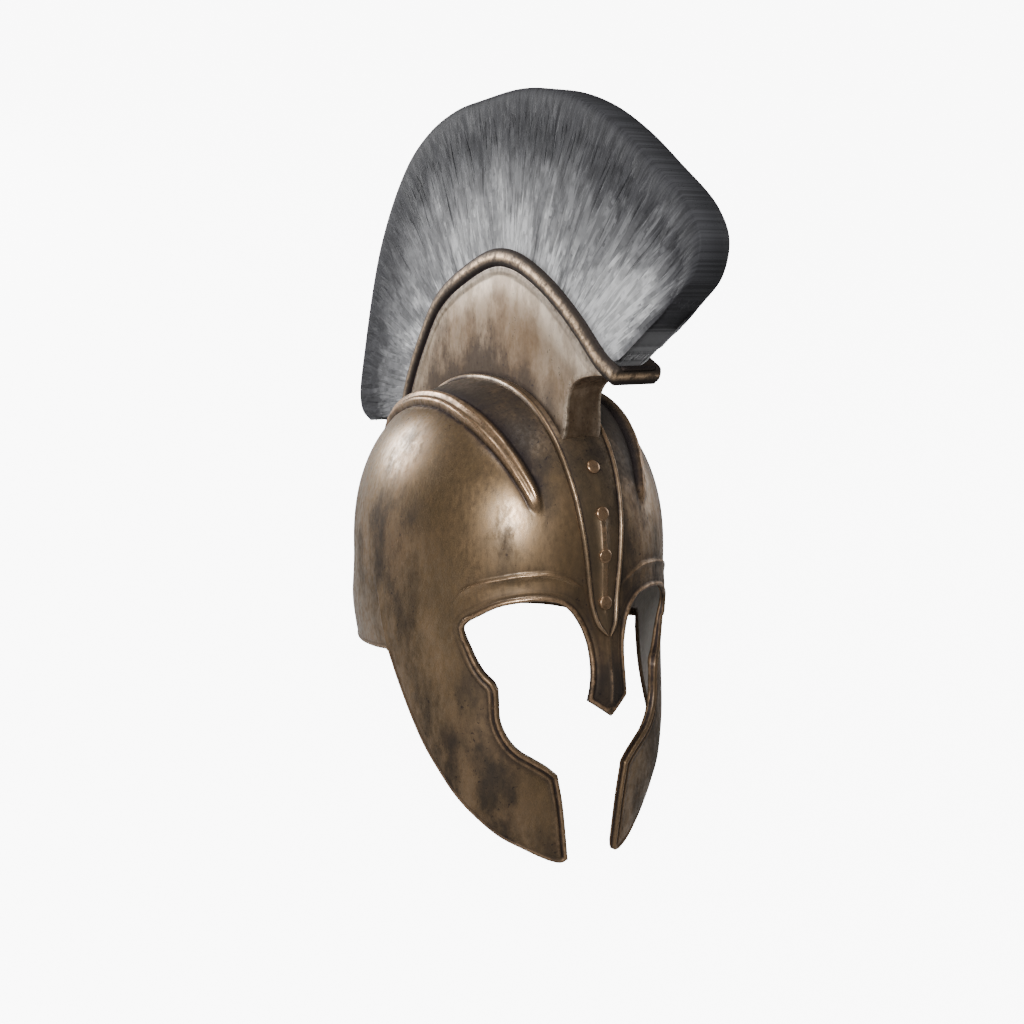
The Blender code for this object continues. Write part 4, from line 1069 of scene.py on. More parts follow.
@dataclass
class Crest:
    """The hollow box on the dome and the rolled tray that holds the plume."""

    front: float = 0.151
    back: float = 0.131
    top: float = 0.197
    box_width: float = 0.032
    foot_front: float = 0.775
    foot_back: float = 0.800
    rim_front: float = 0.030
    rim_back: float = 0.960
    neck_bulge: float = 0.022
    bulge_high: float = 1.4
    waist: float = 0.86
    foot_rise: float = 0.0009
    tray_width: float = 0.037
    tray_height: float = 0.013
    tray_depth: float = 0.007
    tray_end: float = 0.003
    step: float = 0.0035

    def arch(self, step: float) -> tuple:
        """Follow the tray's underside from front to back, with the directions straight out."""
        line = curve(spread(ARCH, self.front, self.back, self.top), step)
        line = np.stack([0.0 * line[:, 0], line[:, 0], line[:, 1]], axis=1)
        return line, out_of_middle(line)

    def box(self, material: bpy.types.Material, plate: CentrePlate) -> bpy.types.Object:
        """Make the box's flaring sides and its narrow neck, with a shallow line under the tray."""
        head, up = self.arch(self.step)
        part = slice(round(self.rim_front * len(head)), round(self.rim_back * len(head)))
        head = (head + up * 0.0006)[part]
        line, normal, half = plate.frame(MM)
        first = int(np.argmin(np.abs(line[:, 1] + self.foot_front * FORM.front_depth)))
        last = int(np.argmin(np.abs(line[:, 1] - self.foot_back * FORM.back_depth)))
        at = np.round(np.linspace(first, last, len(head))).astype(int)
        foot_half = np.minimum(half[at] * 0.68, self.box_width / 2)
        foot = FORM.seat(line[at], normal[at], foot_half, self.foot_rise + 0.0 * half[at])
        foot[:, 0] = 0.0
        tall = np.linalg.norm(head - foot, axis=1)
        share = np.linspace(0.0, 1.0, len(head))
        bulge = self.neck_bulge * (1.0 - smooth_step(share / 0.4))
        rows = np.concatenate([np.linspace(0.0, 0.86, 15), np.linspace(0.875, 1.0, 10)])
        sides = []
        for row in rows:
            width = mixed(foot_half, self.box_width / 2, row)
            waist = 1.0 - (1.0 - self.waist) * math.sin(math.pi * row) * smooth_step(1.0 - share / 0.5)
            bow = math.sin(math.pi * row ** self.bulge_high) * bulge
            point = mixed(foot, head, row) + np.stack([0 * bow, 0.92 * bow, 0.38 * bow], axis=1)
            below = (1.0 - row) * tall / MM
            emboss = np.interp(below, [0.0, 3.0, 4.6, 6.0], [0.35, 0.35, 0.05, 0.0]) * MM
            flare = 0.7 * MM * np.exp(-((below - 6.0) / 9.0) ** 2) * (below > 5.2)
            point[:, 0] = width * waist + emboss - flare * 0.5
            sides.append(point)
        rings = mirrored(sides)
        # A narrower first ring keeps the neck's worn edge apart from its dark front
        rings = np.concatenate([rings[:1] * (0.80, 1.0, 1.0), rings])
        item = Bench.sheet("crest_box_sheet", *loft(rings, ladder=True))
        below = (1.0 - rows)[None, :] * tall[:, None] / MM
        above = rows[None, :] * tall[:, None] / MM
        neck = np.exp(-(np.arange(len(head)) / 1.2) ** 2)[:, None]
        # Dirt and painted shade under the tray and along the box's foot on the dome
        sunk = np.interp(below, [0.0, 1.5, 3.5, 5.5], [0.9, 0.8, 0.3, 0.0])
        sunk = sunk + np.interp(above, [0, 4], [0.8, 0])
        raised = np.interp(below, [1.0, 3.5, 6.5], [0.2, 0.5, 0.0])
        raised = np.maximum(raised * (1.0 - neck), 0.8 * neck)
        # Painted highlight: a pale reflection high on the sides, strongest towards the front, and a faint
        # one over the neck
        fore = 1.0 - 0.75 * smooth_step((share - 0.50) / 0.22)[:, None]
        pale = np.interp(below, [1.5, 6.0, 12.0, 20.0, 30.0], [0.5, 1.0, 0.7, 0.2, 0.0]) * fore
        pale = np.maximum(pale, 0.15 * smooth_step((0.24 - share) / 0.12)[:, None] + 0.0 * below)
        # Painted shade low on the sides, by the dome
        shade = np.interp(above, [0.0, 12.0, 30.0], [0.9, 0.4, 0.0])
        # Each mask with its value on the neck's dark front
        masks = (
            ("sunk", sunk * (1.0 - neck), 0.1),
            ("raised", raised, 0.0),
            ("shade", shade, 0.2),
            ("pale", pale * (1.0 - neck), 0.0),
        )
        for name, value, front in masks:
            value = np.vstack([np.full((1, len(rows)), front), np.clip(value, 0, 1)])
            Bench.mask(item, name, both_sides(value))
        Bench.turn_out(item)
        Bench.round_edges(item, 0.0011, 3, 55.0)
        Bench.finish(item, material, "bronze_crest", ("crest_box",), 45.0)
        return item

    def tray(self, material: bpy.types.Material) -> bpy.types.Object:
        """Make the tray with its two rolled rails and closed, rounded ends."""
        line, normal = self.arch(self.step)
        # Each end gets rings of its own: how far each stands out, and how much smaller it is
        reach = np.array([1.0, 0.8, 0.45, 0.05]) * self.tray_end
        less = np.array([0.0016, 0.0008, 0.0002, 0.0])
        end = len(reach)
        ahead = line[0] + unit(line[0] - line[1]) * reach[:, None]
        behind = line[-1] + unit(line[-1] - line[-2]) * reach[::-1, None]
        line = np.vstack([ahead, line, behind])
        normal = np.pad(normal, ((end, end), (0, 0)), "edge")
        floor = np.full(len(line), self.tray_height - self.tray_depth)
        shrink = np.zeros(len(line))
        for part, values in ((slice(0, end), less), (slice(-end, None), less[::-1])):
            floor[part] = 0.985 * self.tray_height
            shrink[part] = values
        half = self.tray_width / 2
        columns = []
        for row in TRAY_OUTSIDE:
            out = row.out * half - shrink
            columns.append((out, mixed(row.up, 0.5, shrink / (self.tray_height / 2)) * self.tray_height))
        inside = 0.66 * half
        columns += [(inside - shrink, floor), (0.3 * inside + 0 * floor, floor)]
        sides = [line + sideways(across) + normal * rise[:, None] for across, rise in columns]
        item = Bench.sheet("crest_tray_rail", *loft(mirrored(sides), ladder=True))
        ups = np.array([row.up for row in TRAY_OUTSIDE])
        outs = np.array([row.out for row in TRAY_OUTSIDE])
        # Painted highlight: a bright line along the middle of each rail's side, fainter towards the back
        raised = np.interp(ups, [0.38, 0.50, 0.58, 0.72, 0.85, 1.0], [0.0, 0.9, 1.0, 0.3, 0.0, 0.0])
        # Dirt and painted shade low on the rails, on their tops and on the floor
        sunk = np.interp(outs, [0.80, 0.87, 0.90, 0.95], [0.4, 0.7, 1.0, 0.0]) * (ups < 0.3)
        sunk = np.maximum(sunk, np.interp(ups, [0.2, 0.4, 0.8, 1.0], [0.6, 0.0, 0.1, 0.6]))
        # Painted shade below the middle and on top of each rail, and on the floor
        shade = np.interp(ups, [0.3, 0.5, 0.65, 0.9], [1.0, 0.3, 0.3, 0.9])
        fore = 1.0 - 0.6 * smooth_step((np.arange(len(line)) / len(line) - 0.50) / 0.15)
        same = np.ones(len(line))
        # Each mask with its values on the tray's floor and its strength from front to back
        masks = (
            ("raised", raised * (outs > 0.8), (0.0, 0.0), fore),
            ("sunk", sunk, (0.8, 0.9), same),
            ("shade", shade, (1.0, 1.0), same),
        )
        for name, row, on_floor, strength in masks:
            Bench.mask(item, name, both_sides(strength[:, None] * np.concatenate([row, on_floor])))
        Bench.turn_out(item)
        Bench.finish(item, material, "bronze_crest", ("crest_tray",), 50.0)
        return item


class Layer(Enum):
    """Where a layer of hair lies on the plume: its side of the middle and how much of it."""

    LEFT = "left"
    RIGHT = "right"
    EDGE = "edge"
    FRONT = "front"

    @property
    def is_side(self) -> bool:
        """Say whether the layer lies on one of the plume's broad sides."""
        return self in (Layer.LEFT, Layer.RIGHT)


# How many strands each layer has
STRANDS = {Layer.LEFT: 3000, Layer.RIGHT: 3000, Layer.EDGE: 1800, Layer.FRONT: 500}


@dataclass(frozen=True)
class Strands:
    """The values of one layer's strands: places in the fan, lengths, widths, waves and shades."""

    station: np.ndarray
    start: np.ndarray
    end: np.ndarray
    width: np.ndarray
    side: np.ndarray
    centre: np.ndarray
    sway: np.ndarray
    wave: np.ndarray
    lift: np.ndarray
    shade: np.ndarray


@dataclass
class Plume:
    """The fan of hair: a solid body of locks under layers of tapering strands."""

    thickness: float = 0.024
    front: float = 0.229
    top: float = 0.3135
    back: float = 0.2245
    root_front: float = 0.032
    root_back: float = 0.975
    root_rise: float = 0.0063
    stations: int = 620
    corners: int = 3
    pieces: int = 6
    seed: int = 11
    locks: int = 110
    gather: float = 0.30
    furrow: float = 0.0008

    def fan(self, crest: Crest) -> tuple:
        """Give the plume's roots and tips in the middle plane at evenly spread shares of the fan."""
        root, up = crest.arch(MM)
        root = root + up * self.root_rise
        tips = curve(spread(PLUME_TIPS, self.front, self.back, self.top), MM)
        share = np.linspace(0.0, 1.0, self.stations)
        roots = read_along(root[:, 1:], mixed(self.root_front, self.root_back, share))
        return roots, read_along(tips, share)

    @staticmethod
    def ripple(at: np.ndarray, place: np.ndarray) -> np.ndarray:
        """Give the hair's wandering furrows from 0 to 1 at stations along the fan and places up it."""
        drift = 2.2 * np.sin(at * 0.031 + 1.3) * place + 1.1 * np.sin(at * 0.067 + place * 3.1)
        value = 0.5 + 0.30 * np.sin(at * 0.31 + drift * 1.7) + 0.22 * np.sin(at * 0.67 + drift * 2.3 + 2.0)
        value = value + 0.16 * np.sin(at * 1.61 - drift * 1.9 + place * 5.0) * (0.4 + place)
        return np.clip(value, 0.0, 1.0)

    def half_at(self, place: np.ndarray) -> np.ndarray:
        """Give the plume's half thickness at places from root, 0, to tip, 1."""
        return through(PLUME_THICKNESS, "half", place) * self.thickness / 2

    def body(self, crest: Crest, material: bpy.types.Material) -> bpy.types.Object:
        """Make the solid body of locks, furrowed along the hair and closed over the tips."""
        roots, tips = self.fan(crest)
        at = np.arange(self.stations, dtype=float)
        places = np.concatenate([np.linspace(0.0, 0.9, 34), np.linspace(0.925, 1.0, 7)])
        sides = []
        for place in places:
            yz = mixed(roots, tips, place)
            deep = self.ripple(at, place + 0 * at)
            tip = smooth_step((place - 0.80) / 0.15)
            sunk = (1.0 - deep) * self.furrow * smooth_step(place / 0.08) + 0.4 * MM
            half = self.half_at(place) - sunk * (1.0 - tip)
            sides.append(np.stack([half, yz[:, 0], yz[:, 1]], axis=1))
        item = Bench.sheet("plume_body", *loft(mirrored(sides), ladder=True))
        deep = np.stack([self.ripple(at, place + 0 * at) for place in places], axis=1)
        Bench.mask(item, "along", both_sides(np.tile(places, (self.stations, 1))))
        Bench.mask(item, "around", np.repeat(at / self.stations, 2 * len(places)))
        # On the body the strand number is how high its furrows stand, so the deep furrows get painted shade
        Bench.mask(item, "strand", both_sides(deep))
        Bench.turn_out(item)
        Bench.finish(item, material, "hair", ("plume",), 60.0)
        return item

    def draw(self, which: Layer, count: int) -> Strands:
        """Draw at random where each strand of a layer lies and how it looks.

        Args:
            which: where the strands lie.
            count: how many strands there are.

        Returns:
            The strands' values.
        """
        rng = np.random.default_rng(self.seed + list(Layer).index(which))
        station = np.sort(rng.uniform(1.0, self.stations - 2.0, count))
        start = rng.uniform(0.0, 0.55, count) ** 1.3
        end = np.minimum(start + rng.uniform(0.30, 0.75, count), rng.uniform(0.92, 0.985, count))
        width = rng.uniform(0.7, 2.1, count) * MM
        side = np.full(count, -1.0 if which is Layer.RIGHT else 1.0)
        if which in (Layer.EDGE, Layer.FRONT):
            start = rng.uniform(0.80, 0.93, count)
            end = 1.0 + rng.uniform(-0.002, 0.003, count)
            side = rng.uniform(-0.90, 0.90, count)
        if which is Layer.FRONT:
            station = np.sort(rng.uniform(0.0, 9.0, count))
            start = rng.uniform(0.0, 0.5, count)
            end = np.minimum(start + rng.uniform(0.3, 0.6, count), 1.0)
        lock = np.minimum((station / self.stations * self.locks).astype(int), self.locks - 1)
        centre = (lock + 0.5) * self.stations / self.locks
        sway = rng.normal(0.0, 1.2, count) + rng.normal(0.0, 3.0, self.locks)[lock]
        wave = rng.normal(0.0, 0.5, count) + rng.uniform(0.0, 6.28, self.locks)[lock]
        lift = rng.uniform(-0.30, 0.15, count) * MM
        shade = 0.45 * rng.uniform(0.0, 1.0, count)
        shade = shade + 0.55 * rng.uniform(0.0, 1.0, self.locks)[lock]
        return Strands(station, start, end, width, side, centre, sway, wave, lift, shade)

    def middles(self, which: Layer, hair: Strands, fan: tuple, t: float) -> np.ndarray:
        """Give the middle of each strand at a share of its length.

        Args:
            which: where the strands lie.
            hair: the strands' values.
            fan: the plume's roots and tips.
            t: the share of the strands' length.

        Returns:
            A point for each strand.
        """
        roots, tips = fan
        place = mixed(hair.start, hair.end, t)
        where = mixed(hair.station, hair.centre, self.gather * smooth_step(place / 0.9))
        where = where + hair.sway * place ** 1.5
        where = where + (0.5 + place) * 1.6 * np.sin(hair.wave + place * 9.0)
        where = np.clip(where, 0.0, self.stations - 1.0)
        low = np.floor(where).astype(int)
        high = np.minimum(low + 1, self.stations - 1)
        part = (where - low)[:, None]
        root = mixed(roots[low], roots[high], part)
        yz = mixed(root, mixed(tips[low], tips[high], part), place[:, None])
        half = self.half_at(place)
        if which.is_side:
            tip = smooth_step((place - 0.80) / 0.15)
            furrow = (1.0 - self.ripple(where, place)) * self.furrow * smooth_step(place / 0.08)
            furrow = furrow * (1.0 - tip)
            proud = hair.lift * np.sin(math.pi * np.clip(t, 0.05, 0.9)) - (0.30 + 0.20 * tip) * MM
            half = half - 0.8 * furrow + proud
        return np.stack([hair.side * half, yz[:, 0], yz[:, 1]], axis=1)

    def tubes(self, count: int) -> list:
        """List the faces of many tubes of equal length with closed ends."""
        corners = self.corners
        per = (self.pieces + 1) * corners
        one = []
        for a in range(0, self.pieces * corners, corners):
            for i in range(corners):
                j = (i + 1) % corners
                one.append((a + i, a + j, a + corners + j, a + corners + i))
        one += [(0, 1, 2), (per - 3, per - 1, per - 2)]
        return [tuple(i + base for i in face) for base in range(0, count * per, per) for face in one]

    def layer(self, crest: Crest, which: Layer, material: bpy.types.Material) -> bpy.types.Object:
        """Lay many tapering strands over one side, the edge or the front of the body.

        Args:
            crest: the crest whose tray holds the roots.
            which: where the strands lie.
            material: the hair's finish.

        Returns:
            The strands as one piece.
        """
        count = STRANDS[which]
        fan = self.fan(crest)
        hair = self.draw(which, count)
        steps = np.linspace(0.0, 1.0, self.pieces + 1)
        path = np.stack([self.middles(which, hair, fan, t) for t in steps], axis=1)
        along = unit(np.gradient(path, axis=1))
        flat = np.array([1.0, 0.0, 0.0] if which.is_side else [0.0, 1.0, 0.0])
        across = unit(np.cross(along, flat))
        out = np.cross(across, along)
        taper = np.interp(steps, [0.0, 0.15, 0.6, 1.0], [0.25, 0.9, 1.0, 0.12])
        size = (hair.width[:, None] * taper[None, :])[..., None]
        rings = []
        for corner in range(self.corners):
            turn = 2.0 * math.pi * (corner + 0.5) / self.corners
            rings.append(path + size * (across * math.cos(turn) + out * math.sin(turn) * 0.20))
        points = np.stack(rings, axis=2).reshape(-1, 3)
        item = Bench.sheet("plume_hair_" + which.value, points, self.tubes(count))
        place = mixed(hair.start[:, None], hair.end[:, None], steps[None, :])
        per = (self.pieces + 1) * self.corners
        Bench.mask(item, "along", np.repeat(place.ravel(), self.corners))
        Bench.mask(item, "around", np.repeat(hair.station / self.stations, per))
        Bench.mask(item, "strand", np.repeat(hair.shade, per))
        Bench.turn_out(item)
        Bench.finish(item, material, "hair", ("plume",), 70.0)
        return item

    def build(self, crest: Crest, material: bpy.types.Material) -> None:
        """Make the body and its four layers of strands."""
        self.body(crest, material)
        for which in Layer:
            self.layer(crest, which, material)


class Wiring:
    """Short ways to place and join the nodes of one node tree."""

    def __init__(self, tree: bpy.types.NodeTree) -> None:
        """Keep the tree that nodes are placed in."""
        self.tree = tree

    def node(self, kind: str, **values: object) -> bpy.types.Node:
        """Place a node and set its properties."""
        made = self.tree.nodes.new(kind)
        for name, value in values.items():
            setattr(made, name, value)
        return made

    def put(self, socket: bpy.types.NodeSocket, value: object) -> None:
        """Join a socket to an output, or set its value."""
        if isinstance(value, bpy.types.NodeSocket):
            self.tree.links.new(value, socket)
        else:
            socket.default_value = value

    def math(self, operation: str, first: object, second: object, clamp: bool) -> bpy.types.NodeSocket:
        """Give the result of a sum on two values."""
        made = self.node("ShaderNodeMath", operation=operation, use_clamp=clamp)
        self.put(made.inputs[0], first)
        self.put(made.inputs[1], second)
        return made.outputs[0]

    def add(self, first: object, second: object, clamp: bool = False) -> bpy.types.NodeSocket:
        """Add two values."""
        return self.math("ADD", first, second, clamp)

    def less(self, first: object, second: object) -> bpy.types.NodeSocket:
        """Take the second value from the first."""
        return self.math("SUBTRACT", first, second, False)

    def times(self, first: object, second: object, clamp: bool = False) -> bpy.types.NodeSocket:
        """Multiply two values."""
        return self.math("MULTIPLY", first, second, clamp)

    def ramp(self, value: object, low: float, high: float, start: float = 0.0,
             end: float = 1.0) -> bpy.types.NodeSocket:
        """Map a value from one range to another, smoothly and clamped."""
        made = self.node("ShaderNodeMapRange", interpolation_type="SMOOTHSTEP", clamp=True)
        for name, number in (("From Min", low), ("From Max", high), ("To Min", start), ("To Max", end)):
            made.inputs[name].default_value = number
        self.put(made.inputs["Value"], value)
        return made.outputs[0]

    def blend(self, share: object, first: object, second: object, way: str = "MIX") -> bpy.types.NodeSocket:
        """Mix two colours by the share of the second."""
        made = self.node("ShaderNodeMix", data_type="RGBA", blend_type=way, clamp_factor=True)
        self.put(made.inputs[0], share)
        self.put(made.inputs[6], first)
        self.put(made.inputs[7], second)
        return made.outputs[2]

    def noise(self, place: object, scale: float, detail: float, rough: float,
              bend: float = 0.0) -> bpy.types.NodeSocket:
        """Give a noise value at a place."""
        made = self.node("ShaderNodeTexNoise", noise_dimensions="3D")
        made.inputs["Scale"].default_value = scale
        made.inputs["Detail"].default_value = detail
        made.inputs["Roughness"].default_value = rough
        made.inputs["Distortion"].default_value = bend
        self.put(made.inputs["Vector"], place)
        return made.outputs["Fac"]

    def flat(self, across: object, up: object) -> bpy.types.NodeSocket:
        """Make a place for a pattern from two values."""
        made = self.node("ShaderNodeCombineXYZ")
        self.put(made.inputs[0], across)
        self.put(made.inputs[1], up)
        return made.outputs[0]

    def bump(self, shader: bpy.types.Node, height: object, strength: float, distance: float) -> None:
        """Give a shader fine relief from a height."""
        made = self.node("ShaderNodeBump")
        made.inputs["Strength"].default_value = strength
        made.inputs["Distance"].default_value = distance
        self.put(made.inputs["Height"], height)
        self.put(shader.inputs["Normal"], made.outputs["Normal"])

    def attribute(self, name: str) -> bpy.types.NodeSocket:
        """Read a number that the mesh keeps for each vertex."""
        return self.node("ShaderNodeAttribute", attribute_name=name).outputs["Fac"]


def new_material(name: str) -> tuple:
    """Make a material and give it with its shader and its wiring."""
    material = bpy.data.materials.new(name)
    material.use_nodes = True
    return material, material.node_tree.nodes["Principled BSDF"], Wiring(material.node_tree)


def colour(red: float, green: float, blue: float) -> tuple:
    """Give a linear colour from the 0 to 255 values of a screen colour."""
    def linear(value: float) -> float:
        share = value / 255.0
        return share / 12.92 if share <= 0.04045 else ((share + 0.055) / 1.055) ** 2.4
    return (linear(red), linear(green), linear(blue), 1.0)


def make_bronze_and_painted_light_group() -> bpy.types.NodeTree:
    """Build the bronze effect: blotches, specks, dark grooves of dirt and painted shade, painted shade and
    highlights from masks, and worn edges.

    Returns:
        A group with a colour, a roughness and a height that change over the surface.
    """
    tree = bpy.data.node_groups.new("bronze_with_painted_light", "ShaderNodeTree")
    face = tree.interface
    for name in ("Tan", "Umber", "Copper_And_Highlight", "Grime_Shade_Colour"):
        face.new_socket(name, in_out="INPUT", socket_type="NodeSocketColor")
    for name in ("Raised", "Sunk", "Pale", "Darkness", "Size", "Stretch"):
        face.new_socket(name, in_out="INPUT", socket_type="NodeSocketFloat")
    face.new_socket("Color", in_out="OUTPUT", socket_type="NodeSocketColor")
    for name in ("Roughness", "Gloss", "Height"):
        face.new_socket(name, in_out="OUTPUT", socket_type="NodeSocketFloat")
    w = Wiring(tree)
    given = w.node("NodeGroupInput").outputs
    place = w.node("ShaderNodeTexCoord").outputs["Object"]
    # The pattern is turned by the lean, so that its streaks run down the upright helmet
    upright = w.node("ShaderNodeMapping")
    upright.inputs["Rotation"].default_value = (RESTING.lean, 0.0, 0.0)
    w.put(upright.inputs["Vector"], place)
    drawn = w.node("ShaderNodeVectorMath", operation="MULTIPLY")
    tall = w.node("ShaderNodeCombineXYZ")
    tall.inputs[0].default_value = 1.0
    tall.inputs[1].default_value = 1.0
    w.put(tall.inputs[2], given["Stretch"])
    w.put(drawn.inputs[0], upright.outputs[0])
    w.put(drawn.inputs[1], tall.outputs[0])
    sized = w.node("ShaderNodeVectorMath", operation="SCALE")
    w.put(sized.inputs[0], drawn.outputs[0])
    w.put(sized.inputs["Scale"], given["Size"])
    spot = sized.outputs[0]
    cloud = w.noise(spot, 15.0, 4.0, 0.60, 0.15)
    patch = w.noise(spot, 46.0, 5.0, 0.66, 0.1)
    grain = w.noise(spot, 330.0, 4.0, 0.65)
    speck = w.noise(place, 430.0, 2.0, 0.5)
    tone = w.add(w.times(cloud, 0.58), w.times(patch, 0.42))
    tone = w.add(tone, w.times(w.less(grain, 0.5), 0.10))
    # Darkness brings the material's own darkness and the painted shade of the shade mask
    aged_and_shaded = w.less(w.add(tone, w.times(given["Darkness"], 0.25)), 0.125)
    base = w.blend(w.ramp(aged_and_shaded, 0.40, 0.69), given["Tan"], given["Umber"])
    pale = w.times(w.ramp(patch, 0.60, 0.32, 0.0, 0.35), w.ramp(given["Darkness"], 1.1, 0.7))
    base = w.blend(pale, base, w.blend(0.5, given["Tan"], given["Copper_And_Highlight"]))
    # Painted highlight: where the pale mask asks, a pale reflection in the bare metal colour
    glare = w.times(given["Pale"], w.ramp(patch, 0.62, 0.36, 0.35, 1.0))
    base = w.blend(glare, base, given["Copper_And_Highlight"])
    fleck = w.times(w.ramp(speck, 0.635, 0.70), w.ramp(aged_and_shaded, 0.50, 0.59))
    base = w.blend(w.times(fleck, 0.7), base, given["Grime_Shade_Colour"])
    # Dirt and painted shade darken the sunk places, broken up by noise
    crust_and_shade = w.ramp(w.noise(place, 150.0, 4.0, 0.6), 0.22, 0.52, 0.45, 1.0)
    groove = w.times(given["Sunk"], crust_and_shade, True)
    base = w.blend(w.times(groove, 0.9), base, given["Grime_Shade_Colour"])
    # Worn bare metal on raised places, and painted highlights where a mask lays them
    rubbed_and_glinting = w.ramp(w.noise(place, 240.0, 4.0, 0.7), 0.38, 0.60, 0.2, 1.0)
    wear_and_highlight = w.times(given["Raised"], rubbed_and_glinting, True)
    base = w.blend(w.times(wear_and_highlight, 0.85), base, given["Copper_And_Highlight"])
    rough = w.ramp(aged_and_shaded, 0.38, 0.66, 0.32, 0.62)
    rough = w.add(rough, w.times(w.less(grain, 0.5), 0.36))
    rough = w.less(rough, w.times(wear_and_highlight, 0.14))
    rough = w.add(rough, w.times(groove, 0.12), True)
    gloss = w.times(w.ramp(aged_and_shaded, 0.64, 0.40, 0.10, 1.0), w.ramp(grain, 0.62, 0.40, 0.25, 1.0))
    gloss = w.times(gloss, w.less(1.0, w.times(groove, 0.8)), True)
    gloss = w.add(gloss, w.times(given["Pale"], 1.2))
    height = w.add(w.times(grain, 0.16), w.times(patch, 0.55))
    height = w.less(height, w.times(fleck, 0.15))
    out = w.node("NodeGroupOutput").inputs
    w.put(out["Color"], base)
    w.put(out["Roughness"], rough)
    w.put(out["Gloss"], gloss)
    w.put(out["Height"], height)
    return tree


@dataclass(frozen=True)
class BronzeFinish:
    """One bronze: its colours, and how dark, large-patterned and metallic it is."""

    name: str
    tan: tuple = colour(132, 108, 78)
    umber: tuple = colour(72, 63, 55)
    # The bare metal colour below is worn metal, and also the colour of painted highlights
    copper_and_highlight: tuple = colour(200, 162, 126)
    # The dark colour below is dirt in specks and grooves, and also painted shade
    grime_shade_colour: tuple = colour(44, 37, 40)
    lining: tuple = colour(205, 200, 194)
    darkness: float = 0.5
    size: float = 1.0
    stretch: float = 0.50
    metallic: float = 0.80
    coat: float = 0.85
    coat_roughness: float = 0.28
    has_lining: bool = False

    def make(self, shared_bronze_and_light: bpy.types.NodeTree) -> bpy.types.Material:
        """Build the material around the shared group of blotches, dirt, painted shade and painted
        highlights.
        """
        material, shader, w = new_material(self.name)
        group = w.node("ShaderNodeGroup", node_tree=shared_bronze_and_light)
        for name in ("tan", "umber", "copper_and_highlight", "grime_shade_colour", "size", "stretch"):
            group.inputs[name.title()].default_value = getattr(self, name)
        for name in ("raised", "sunk", "pale"):
            w.put(group.inputs[name.title()], w.attribute(name))
        # The shade mask adds painted shade to the darkness
        dark = w.add(self.darkness, w.times(w.attribute("shade"), 0.9))
        w.put(group.inputs["Darkness"], dark)
        base, rough = group.outputs["Color"], group.outputs["Roughness"]
        metal: object = self.metallic
        if self.has_lining:
            lining = w.attribute("lining")
            base = w.blend(lining, base, w.blend(0.15, self.lining, base))
            rough = w.add(rough, w.times(lining, 0.25), True)
            metal = w.less(self.metallic, w.times(lining, 0.70))
        w.put(shader.inputs["Base Color"], base)
        w.put(shader.inputs["Roughness"], rough)
        w.put(shader.inputs["Metallic"], metal)
        w.put(shader.inputs["Coat Weight"], w.times(group.outputs["Gloss"], self.coat))
        shader.inputs["Coat Roughness"].default_value = self.coat_roughness
        w.bump(shader, group.outputs["Height"], 0.35, 0.0006)
        return material


@dataclass(frozen=True)
class HairFinish:
    """The plume's grey hair: pale streaks by the roots that darken to the tips."""

    name: str = "grey_hair"
    pale: tuple = colour(206, 206, 207)
    middle: tuple = colour(128, 128, 130)
    dark: tuple = colour(62, 62, 65)

    def make(self) -> bpy.types.Material:
        """Build the material from the strand, along and around numbers of the mesh."""
        material, shader, w = new_material(self.name)
        along, around, strand = (w.attribute(name) for name in ("along", "around", "strand"))
        streak = w.noise(w.flat(w.times(around, 95.0), w.times(along, 4.0)), 1.0, 4.0, 0.55, 0.9)
        patch = w.noise(w.flat(w.times(around, 26.0), w.times(along, 2.0)), 1.0, 3.0, 0.55, 0.6)
        slim = w.noise(w.flat(w.times(around, 230.0), w.times(along, 4.5)), 1.0, 2.0, 0.5, 1.4)
        # Over the tips both broad patterns fade out, or they would show as bands across the edge
        tips = w.ramp(along, 0.90, 0.99)
        streak, patch = (w.add(value, w.times(tips, w.less(0.5, value))) for value in (streak, patch))
        reach = w.add(w.times(along, 1.10), w.times(w.less(patch, 0.5), 1.3))
        reach = w.add(reach, w.times(w.less(0.5, streak), 1.2))
        # Darker strands, and painted shade in the body's deep furrows
        reach = w.add(reach, w.times(w.less(0.5, strand), 0.16))
        reach = w.add(reach, w.ramp(along, 0.50, 0.85, 0.0, 0.36))
        reach = w.add(reach, w.ramp(around, 0.45, 0.85, 0.0, 0.10))
        reach = w.less(reach, w.ramp(around, 0.18, 0.07, 0.0, 0.30))
        reach = w.add(reach, w.ramp(around, 0.035, 0.0, 0.0, 0.40))
        base = w.blend(w.ramp(reach, -0.05, 0.48), self.pale, self.middle)
        base = w.blend(w.ramp(reach, 0.38, 1.15), base, self.dark)
        base = w.blend(1.0, base, w.ramp(slim, 0.36, 0.62, 0.62, 1.06), "MULTIPLY")
        w.put(shader.inputs["Base Color"], base)
        w.put(shader.inputs["Roughness"], w.ramp(streak, 0.3, 0.7, 0.50, 0.72))
        shader.inputs["Specular IOR Level"].default_value = 0.10
        w.bump(shader, streak, 0.8, 0.0010)
        return material


# The soft lights: where each hangs and what it is aimed at beside the upright helmet
LAMPS = table(
    "name place aim size power",
    ("key_light", (-0.89, -1.01, 0.42), (-0.05, -0.08, 0.04), 0.28, 15.6),
    ("back_light", (-0.46, 0.76, 0.42), (-0.07, 0.0, 0.10), 0.34, 9.0),
    ("top_light", (-0.20, -0.35, 1.20), (0.0, -0.05, 0.05), 0.50, 6.0),
    ("side_light", (1.10, -0.10, 0.30), (0.0, 0.0, 0.0), 0.60, 3.0),
)


